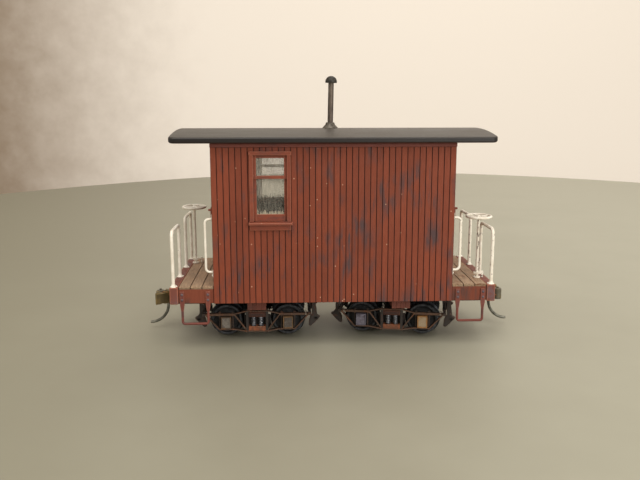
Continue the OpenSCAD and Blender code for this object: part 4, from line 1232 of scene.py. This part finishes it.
for name in ("left", "right"):
    place = truck_place(name)
    timber, channels, coils, crossing = Piece(), Piece(), Piece(), Piece()
    bore = 1.05
    wide = bolster_x
    for end in (-1, 1):
        face = end * timber_high.y
        timber.block((-wide, end * bore, timber_low.z), (wide, face, timber_high.z))
        timber.block((end * bore, -bore, timber_low.z), (end * wide, bore, timber_high.z), eased=0)
        timber.block((-wide + 0.5, face - end * 0.05, timber_low.z + 0.25),
                     (wide - 0.5, face + end * 0.12, timber_high.z - 0.25))
        channels.block((-wide, end * (bar_y - 0.3), channel_low.z),
                       (wide, end * (bar_y + bar_out), channel_high.z - 0.35))
        middle_y = end * (bar_y + bar_out / 2)
        for lip in (-1, 1):
            channels.block((-wide, middle_y + lip * 0.95, channel_high.z - 0.4),
                           (wide, middle_y + lip * 0.75, channel_high.z + 0.15))
        for i in (-1, 1):
            centre = (i * spring_apart / 2, middle_y)
            rise = spring_high.z - spring_low.z - 2 * coil_wire
            helix = [(centre[0] + coil_radius * math.cos(math.tau * k / 16),
                      centre[1] + coil_radius * math.sin(math.tau * k / 16),
                      spring_low.z + coil_wire + rise * k / (16 * coil_turns))
                     for k in range(16 * coil_turns + 1)]
            coils.rod(helix, coil_wire, sides=8)
            coils.turned([(0.4, 0), (0.4, spring_high.z - spring_low.z)],
                         (*centre, spring_low.z), sides=12)
            channels.turned([(0.95, 0), (0.95, 0.18), (0.8, 0.22)],
                            (*centre, channel_high.z - 0.36), sides=20)
    timber.made(f"{name}_truck_bolster_timber", f"{name}_truck", "truck_black",
                [timber_paint, timber_edge], bevel=0.12, replaces=[f"{name}_truck_bolster"],
                place=place)
    crossing.block((-wide + 0.1, -bar_y + 0.3, channel_low.z + 0.05),
                   (wide - 0.1, bar_y - 0.3, channel_high.z - 0.3))
    for end in (-1, 1):
        crossing.block((-column - plate_past, end * plate_in, channel_low.z + 0.6),
                       (column + plate_past, end * plate_out, timber_low.z + 0.3))
        for i in (-1, 1):
            crossing.block((i * (column - 0.5), end * box_back, channel_low.z + 0.5),
                           (i * column, end * (bar_y - 0.15), timber_low.z + 0.4))
    crossing.made(f"{name}_truck_crossing_plank", f"{name}_truck", "rust", [crossing_dirt_and_shade],
                  bevel=0.12, place=place)
    channels.made(f"{name}_truck_spring_channels", f"{name}_truck", "rust",
                  [channel_rust, channel_edge], bevel=0.1,
                  replaces=[f"{name}_truck_spring_planks"], place=place)
    coils.made(f"{name}_truck_spring_coils", f"{name}_truck", "spring_steel", [spring_steel],
               bevel=0, replaces=[f"{name}_truck_springs"], place=place)

# ---------------------------------------------------------------------------------------
# Brake gear: at each end of a truck a cross bar joins the side frames, a timber beam hangs
# behind the wheels, and a cast hanger with its shoe stands in line with each wheel.

brake_high = box("left_truck_brakes")[1]
cross_x = frame_end + 0.05
cross_z = box_head + 0.35
shoe_y, shoe_wide = 8, 1.4
shoe_tip = axle_z + 0.45
hanger_top = brake_high.z
gear_iron = rusty_iron("brake gear iron", (54, 48, 44), (82, 58, 44), (116, 92, 76), 0.4)
gear_edge = rusty_iron("brake gear edges", (84, 64, 52), (118, 72, 50), (150, 118, 96), 0.6)

for name in ("left", "right"):
    gear = Piece()
    for end in (-1, 1):
        gear.block((end * cross_x, -frame_high.y, cross_z),
                   (end * (cross_x + 0.9), frame_high.y, cross_z + 0.8))
        reach = shoe_y + shoe_wide
        gear.block((end * (cross_x + 1.9), -reach, shoe_tip - 0.8),
                   (end * (cross_x + 3), reach, shoe_tip))
        for out in (-1, 1):
            ys = sorted((out * shoe_y, out * (shoe_y + shoe_wide)))
            hanger = [(1.2, cross_z), (1.35, hanger_top), (2.25, hanger_top), (2.3, shoe_tip + 1.4),
                      (2.9, shoe_tip + 0.5), (3.8, shoe_tip), (3.1, shoe_tip - 0.8),
                      (2.1, shoe_tip - 1.9), (0.9, shoe_tip - 3), (0.25, shoe_tip - 2.8),
                      (0.35, shoe_tip - 1.2), (0.85, shoe_tip + 0.3), (1.3, shoe_tip + 0.8)]
            gear.prism([(end * (cross_x + x), z) for x, z in hanger], *ys)
            gear.nut((end * (cross_x + 3), out * (reach - 0.7), shoe_tip - 0.4),
                     (end, 0, 0), 0.38, 0.24)
            gear.rivet((end * (cross_x + 0.45), out * (bar_y + bar_out / 2), cross_z + 0.8),
                       (0, 0, 1), 0.34, 0.24)
    gear.made(f"{name}_truck_brake_gear", f"{name}_truck", "truck_black", [gear_iron, gear_edge],
              bevel=0.11, replaces=[f"{name}_truck_brakes"], place=truck_place(name))

# ---------------------------------------------------------------------------------------
# Wheelsets: turned wheels with a fine flange, blackened all over with the rims rubbed to
# dark grey, pressed on a steel axle whose ends run in the journal boxes.

wheel_radius = (wheel_high.z - wheel_low.z) / 2
tread = wheel_radius - 0.64
back = 7.2
wheel_wide = 2.8
wheel_black = worn_steel("wheel blacking", (52, 51, 52), (24, 24, 25), 0.5, 0.4, 1.2)
axle_steel = worn_steel("axle steel", (128, 120, 108), (66, 58, 50))
face = back + wheel_wide
tyre_steel = worn_steel("tyre steel", (84, 86, 90), (40, 40, 42), 0.7, 0.34, 1.0)
joint = tread - 0.95
tyre = [(joint, back + 0.2), (wheel_radius - 0.18, back), (wheel_radius - 0.05, back + 0.1),
        (wheel_radius, back + 0.25), (wheel_radius - 0.04, back + 0.42), (tread + 0.22,
                                                                          back + 0.62),
        (tread + 0.05, back + 0.85), (tread - 0.08, face - 0.12), (tread - 0.2, face),
        (tread - 0.78, face), (tread - 0.88, face - 0.1), (joint, face - 0.45)]
centre = [(1.01, back), (1.9, back), (2.1, back + 0.25), (joint + 0.02, back + 0.35),
          (joint + 0.02, face - 0.6), (tread - 1.3, face - 0.78), (tread - 2.2, face - 0.65),
          (2.0, face - 0.5), (1.75, face - 0.3), (1.62, face), (1.01, face)]

for truck, side in (("left", -1), ("right", 1)):
    for place_name, along in (("outer", side), ("inner", -side)):
        wheels, tyres, axle = Piece(), Piece(), Piece()
        x = along * truck_half
        for out in (-1, 1):
            wheels.turned(centre, (x, 0, axle_z), (0, out, 0), sides=72, closed=True)
            tyres.turned(tyre, (x, 0, axle_z), (0, out, 0), sides=72, closed=True)
        axle.turned([(0, -12.6), (0.5, -12.6), (0.6, -12.5), (0.6, -10.2), (1.0, -10.1), (1.0, -2),
                     (0.85, -1.5), (0.85, 1.5), (1.0, 2), (1.0, 10.1), (0.6, 10.2), (0.6, 12.5),
                     (0.5, 12.6), (0, 12.6)], (x, 0, axle_z), (0, 1, 0), sides=28)
        body = f"{truck}_{place_name}_wheelset"
        place = truck_place(truck)
        wheels.made(f"{truck}_{place_name}_wheel_pair", body, "wheel_black", [wheel_black],
                    bevel=0, replaces=[f"{truck}_{place_name}_wheels"], place=place)
        tyres.made(f"{truck}_{place_name}_tyres", body, "wheel_black", [tyre_steel], bevel=0,
                   place=place)
        axle.made(f"{truck}_{place_name}_axle_bar", body, "axle_steel", [axle_steel],
                  bevel=0, replaces=[f"{truck}_{place_name}_axle"], place=place)

# ---------------------------------------------------------------------------------------
# Couplers: a cast head on a flat shank that swings in its pocket, a hooked knuckle on its
# own pin with a fine return spring, and a curved steel trip pin below. The casting is left
# in its olive brown finish.

head_low, head_high = box("right_coupler_head")
knuckle_low, knuckle_high = box("right_coupler_knuckle")
trip_high = box("right_trip_pin")[1]
head_x = coupler_pin_x + 9.2
coupler_z = (head_low.z + head_high.z) / 2
shank_half, shank_z = 1.1, 0.75
cast_bronze = rusty_iron("coupler casting", (92, 78, 48), (118, 96, 52), (150, 128, 78), 0.5, 0.35,
                         0.45)
cast_edge = rusty_iron("coupler casting edges",
                       (132, 114, 74), (150, 124, 72), (180, 158, 108), 0.6, 0.4, 0.4)
knuckle_grey = rusty_iron("knuckle casting", (96, 90, 76), (104, 92, 54), (146, 134, 100), 0.5,
                          0.4, 0.42)
spring_bronze = worn_steel("knuckle spring bronze", (196, 132, 84), (128, 78, 48), 0.8, 0.3)
pin_steel = worn_steel("trip pin steel", (128, 126, 114), (62, 62, 54), 0.75, 0.34, 1.4)

for name, turn in (("left", 180), ("right", 0)):
    body = f"{name}_coupler"
    place = Matrix.Rotation(math.radians(turn), 4, "Z")
    head, knuckle, spring, pin = Piece(), Piece(), Piece(), Piece()
    z0, z1 = head_low.z, head_high.z
    shank = [(coupler_pin_x + 0.95, -shank_half), (head_x + 0.5, -shank_half),
             (head_x + 0.5, shank_half), (coupler_pin_x + 0.95, shank_half)]
    head.prism(shank, coupler_z - shank_z, coupler_z + shank_z, along="z")
    head.turned([(0.96, 0), (1.5, 0), (1.5, 1.5), (0.96, 1.5)],
                (coupler_pin_x, 0, coupler_z - shank_z),
                sides=32, closed=True)
    throat = [(head_x - 0.1, -shank_half), (head_x + 0.9, -1.95), (head_x + 1.7, -2.0),
              (head_x + 1.7, 0.3), (head_x + 2.2, 1.6), (head_x + 4.15, 3.2), (head_x + 3.8, 3.85),
              (head_x + 2.6, 3.35), (head_x + 1.2, 2.55), (head_x - 0.1, shank_half)]
    head.prism(throat, z0 + 0.35, z1 - 0.35, along="z")
    head.prism([(head_x + 0.1, -shank_half + 0.1), (head_x + 1.0, -1.75), (head_x + 1.6, -1.8),
                (head_x + 1.6, 0.3), (head_x + 2.0, 1.7), (head_x + 1.3, 2.3), (head_x + 0.1, shank_half)],
               z0, z1, along="z")
    head.prism([(head_x + 2.3, 1.9), (head_x + 4.1, 3.25), (head_x + 3.8, 3.8),
                (head_x + 2.2, 2.9)],
               z0 + 0.1, z1 - 0.1, along="z")
    head.turned([(0.55, 0), (0.55, 0.14), (0.4, 0.14), (0.36, -0.4), (0, -0.4)],
                (head_x + 1.0, 0.9, z1 - 0.02), sides=20)
    head.made(f"{name}_coupler_casting", body, "coupler_bronze", [cast_bronze, cast_edge],
              bevel=0.16, replaces=[f"{name}_coupler_head"], place=place)

    k0, k1 = knuckle_low.z, knuckle_high.z
    tip = knuckle_high.x
    barrel = (tip - 1.25, -1.2)
    knuckle.turned([(1.0, 0), (1.2, 0.15), (1.22, 1.4), (1.16, 1.75), (1.22, 2.1),
                    (1.2, k1 - k0 - 0.15),
                    (1.0, k1 - k0)], (*barrel, k0), sides=36)
    knuckle.prism([(tip - 0.9, -0.7), (tip - 0.05, -1.0), (tip - 0.02, 0.05), (tip - 0.55, 0.5),
                   (tip - 1.25, 0.32), (tip - 1.35, -0.2)], k0 + 0.1, k1 - 0.1, along="z")
    knuckle.turned([(0.42, -k1 + k0), (0.36, 0), (0.36, 0.42), (0.25, 0.52), (0, 0.54)],
                   (*barrel, k1), sides=18)
    knuckle.made(f"{name}_coupler_hook", body, "coupler_bronze", [knuckle_grey, cast_edge],
                 bevel=0.12, replaces=[f"{name}_coupler_knuckle"], place=place)

    start = Vector((head_x + 1.3, -1.98, coupler_z + 0.2))
    stop = Vector((tip - 1.9, -2.25, coupler_z - 0.5))
    turns = 7
    ahead = (stop - start).normalized()
    aside = ahead.orthogonal().normalized()
    upward = ahead.cross(aside)
    helix = [start + (stop - start) * k / (10 * turns)
             + 0.22 * (math.cos(math.tau * k / 10) * aside + math.sin(math.tau * k / 10) * upward)
             for k in range(10 * turns + 1)]
    spring.rod(helix, 0.06, sides=6)
    spring.rod([start - ahead * 0.3, start, start + ahead * 0.2], 0.07, sides=8)
    spring.rod([(head_x + 0.4, 1.9, z1 - 0.3), (head_x + 1.6, 2.0, z1 + 0.02),
                (head_x + 2.8, 3.0, z1 - 0.6)],
               0.08, sides=8)
    spring.made(f"{name}_knuckle_spring", body, "coupler_bronze", [spring_bronze], bevel=0,
                place=place)

    bend = 5.87
    pin_x = head_x + 0.6
    drop = trip_high.z
    swing = lambda x, z: (x, 0, z)
    path = [(pin_x, 0, drop + 0.3), (pin_x, 0, drop - 0.6)]
    path += quarter((pin_x + bend, drop - 0.6), 180, 270, bend, swing, steps=16)[1:]
    pin.rod(path, [0.45] * (len(path) - 2) + [0.44, 0.36], sides=16)
    pin.made(f"{name}_trip_pin_wire", body, "pin_steel", [pin_steel], bevel=0,
             replaces=[f"{name}_trip_pin"], place=place)

# ---------------------------------------------------------------------------------------
# Setting: a plain pale table that runs back to a pale wall, lit softly from above, from the
# front right and a little from behind. Table and wall are painted darker towards the left as
# a soft shadow.


def plain(name, tone, shade, rough, gloss, low, high):
    """Matt card that goes from one tone to another along the car, darker towards the left: a painted soft
    shadow.
    """
    card = Finish(name, Roughness=rough, Specular_IOR_Level=gloss)
    grain = card.noise(40, detail=3)
    across = card.math("ADD", card.axis("X"), card.level(grain, 0.3, 0.7, -25, 25))
    blend = card.node("ShaderNodeMapRange", {"Value": across, "From Min": low, "From Max": high},
                      interpolation_type="SMOOTHSTEP").outputs["Result"]
    card.shade(Base_Color=card.mix(blend, colour(*shade), colour(*tone)))
    return card


def sheet(name, rows, finish):
    """A sheet through rows of points, each row running from left to right."""
    data = bpy.data.meshes.new(name)
    wide = len(rows[0])
    data.from_pydata([Vector(p) * MM for row in rows for p in row], [],
                     [(j * wide + i, j * wide + i + 1, (j + 1) * wide + i + 1, (j + 1) * wide + i)
                      for j in range(len(rows) - 1) for i in range(wide - 1)])
    data.materials.append(finish.material)
    data.shade_smooth()
    made = bpy.data.objects.new(name, data)
    bpy.context.scene.collection.objects.link(made)


table_middle, table_curve = 590, 1 / 520
columns = [40 * i for i in range(-30, 31)]
table_edge = [(x, table_middle - table_curve * (x - 60) ** 2) for x in columns]
# The table top is painted darker towards the left: a painted shadow.
sheet("table", [[(x, -900, 0) for x in columns],
                [(x, y - 30, 0) for x, y in table_edge],
                *[[(x, y - 30 + 30 * math.sin(a), 30 * math.cos(a) - 30) for x, y in table_edge]
                  for a in (0.4, 0.8, 1.2, 1.57)],
                [(x, y, -600) for x, y in table_edge]],
      plain("table top", (166, 163, 145), (136, 132, 114), 0.5, 0.3, -150, 250))
wall_y = 1000
# The wall too is painted darker towards the left: a painted shadow.
sheet("wall", [[(x, wall_y, z) for x in (-2500, -800, 800, 2500)] for z in (-600, 1500)],
      plain("wall", (246, 237, 225), (134, 113, 90), 0.9, 0.1, -620, -130))


def soft_lamp(name, place, aim, size, watts, tone=(1, 1, 1)):
    lamp = bpy.data.lights.new(name, "AREA")
    lamp.shape, lamp.size, lamp.energy, lamp.color = "DISK", size, watts, tone
    made = bpy.data.objects.new(name, lamp)
    made.location = place
    made.rotation_euler = (Vector(aim) - Vector(place)).to_track_quat("-Z", "Y").to_euler()
    bpy.context.scene.collection.objects.link(made)


soft_lamp("ceiling lamp", (-0.05, -0.35, 0.85), (0, 0, 0.02), 0.75, 5.0, (1, 0.98, 0.95))
soft_lamp("window lamp", (0.6, -1.0, 0.35), (0, 0, 0.03), 0.8, 6.5, (1, 0.98, 0.95))
soft_lamp("far lamp", (0.3, 0.6, 1.0), (0.1, 0.15, 0), 0.6, 2.0, (1, 0.98, 0.95))
world = bpy.data.worlds.new("room light")
bpy.context.scene.world = world
world.use_nodes = True
world.node_tree.nodes["Background"].inputs["Color"].default_value = colour(240, 234, 226)
world.node_tree.nodes["Background"].inputs["Strength"].default_value = 0.88

camera = bpy.data.cameras.new("camera")
camera.sensor_width, camera.lens = 36, 40.47
camera.clip_start = 0.01
viewer = bpy.data.objects.new("camera", camera)
viewer.location = Vector((-12.24, -225.06, 69.96)) * MM
viewer.rotation_euler = [math.radians(a) for a in (90 - 10.46, 0.065, -2.32)]
bpy.context.scene.collection.objects.link(viewer)
bpy.context.scene.camera = viewer
bpy.context.scene.view_settings.view_transform = "Standard"
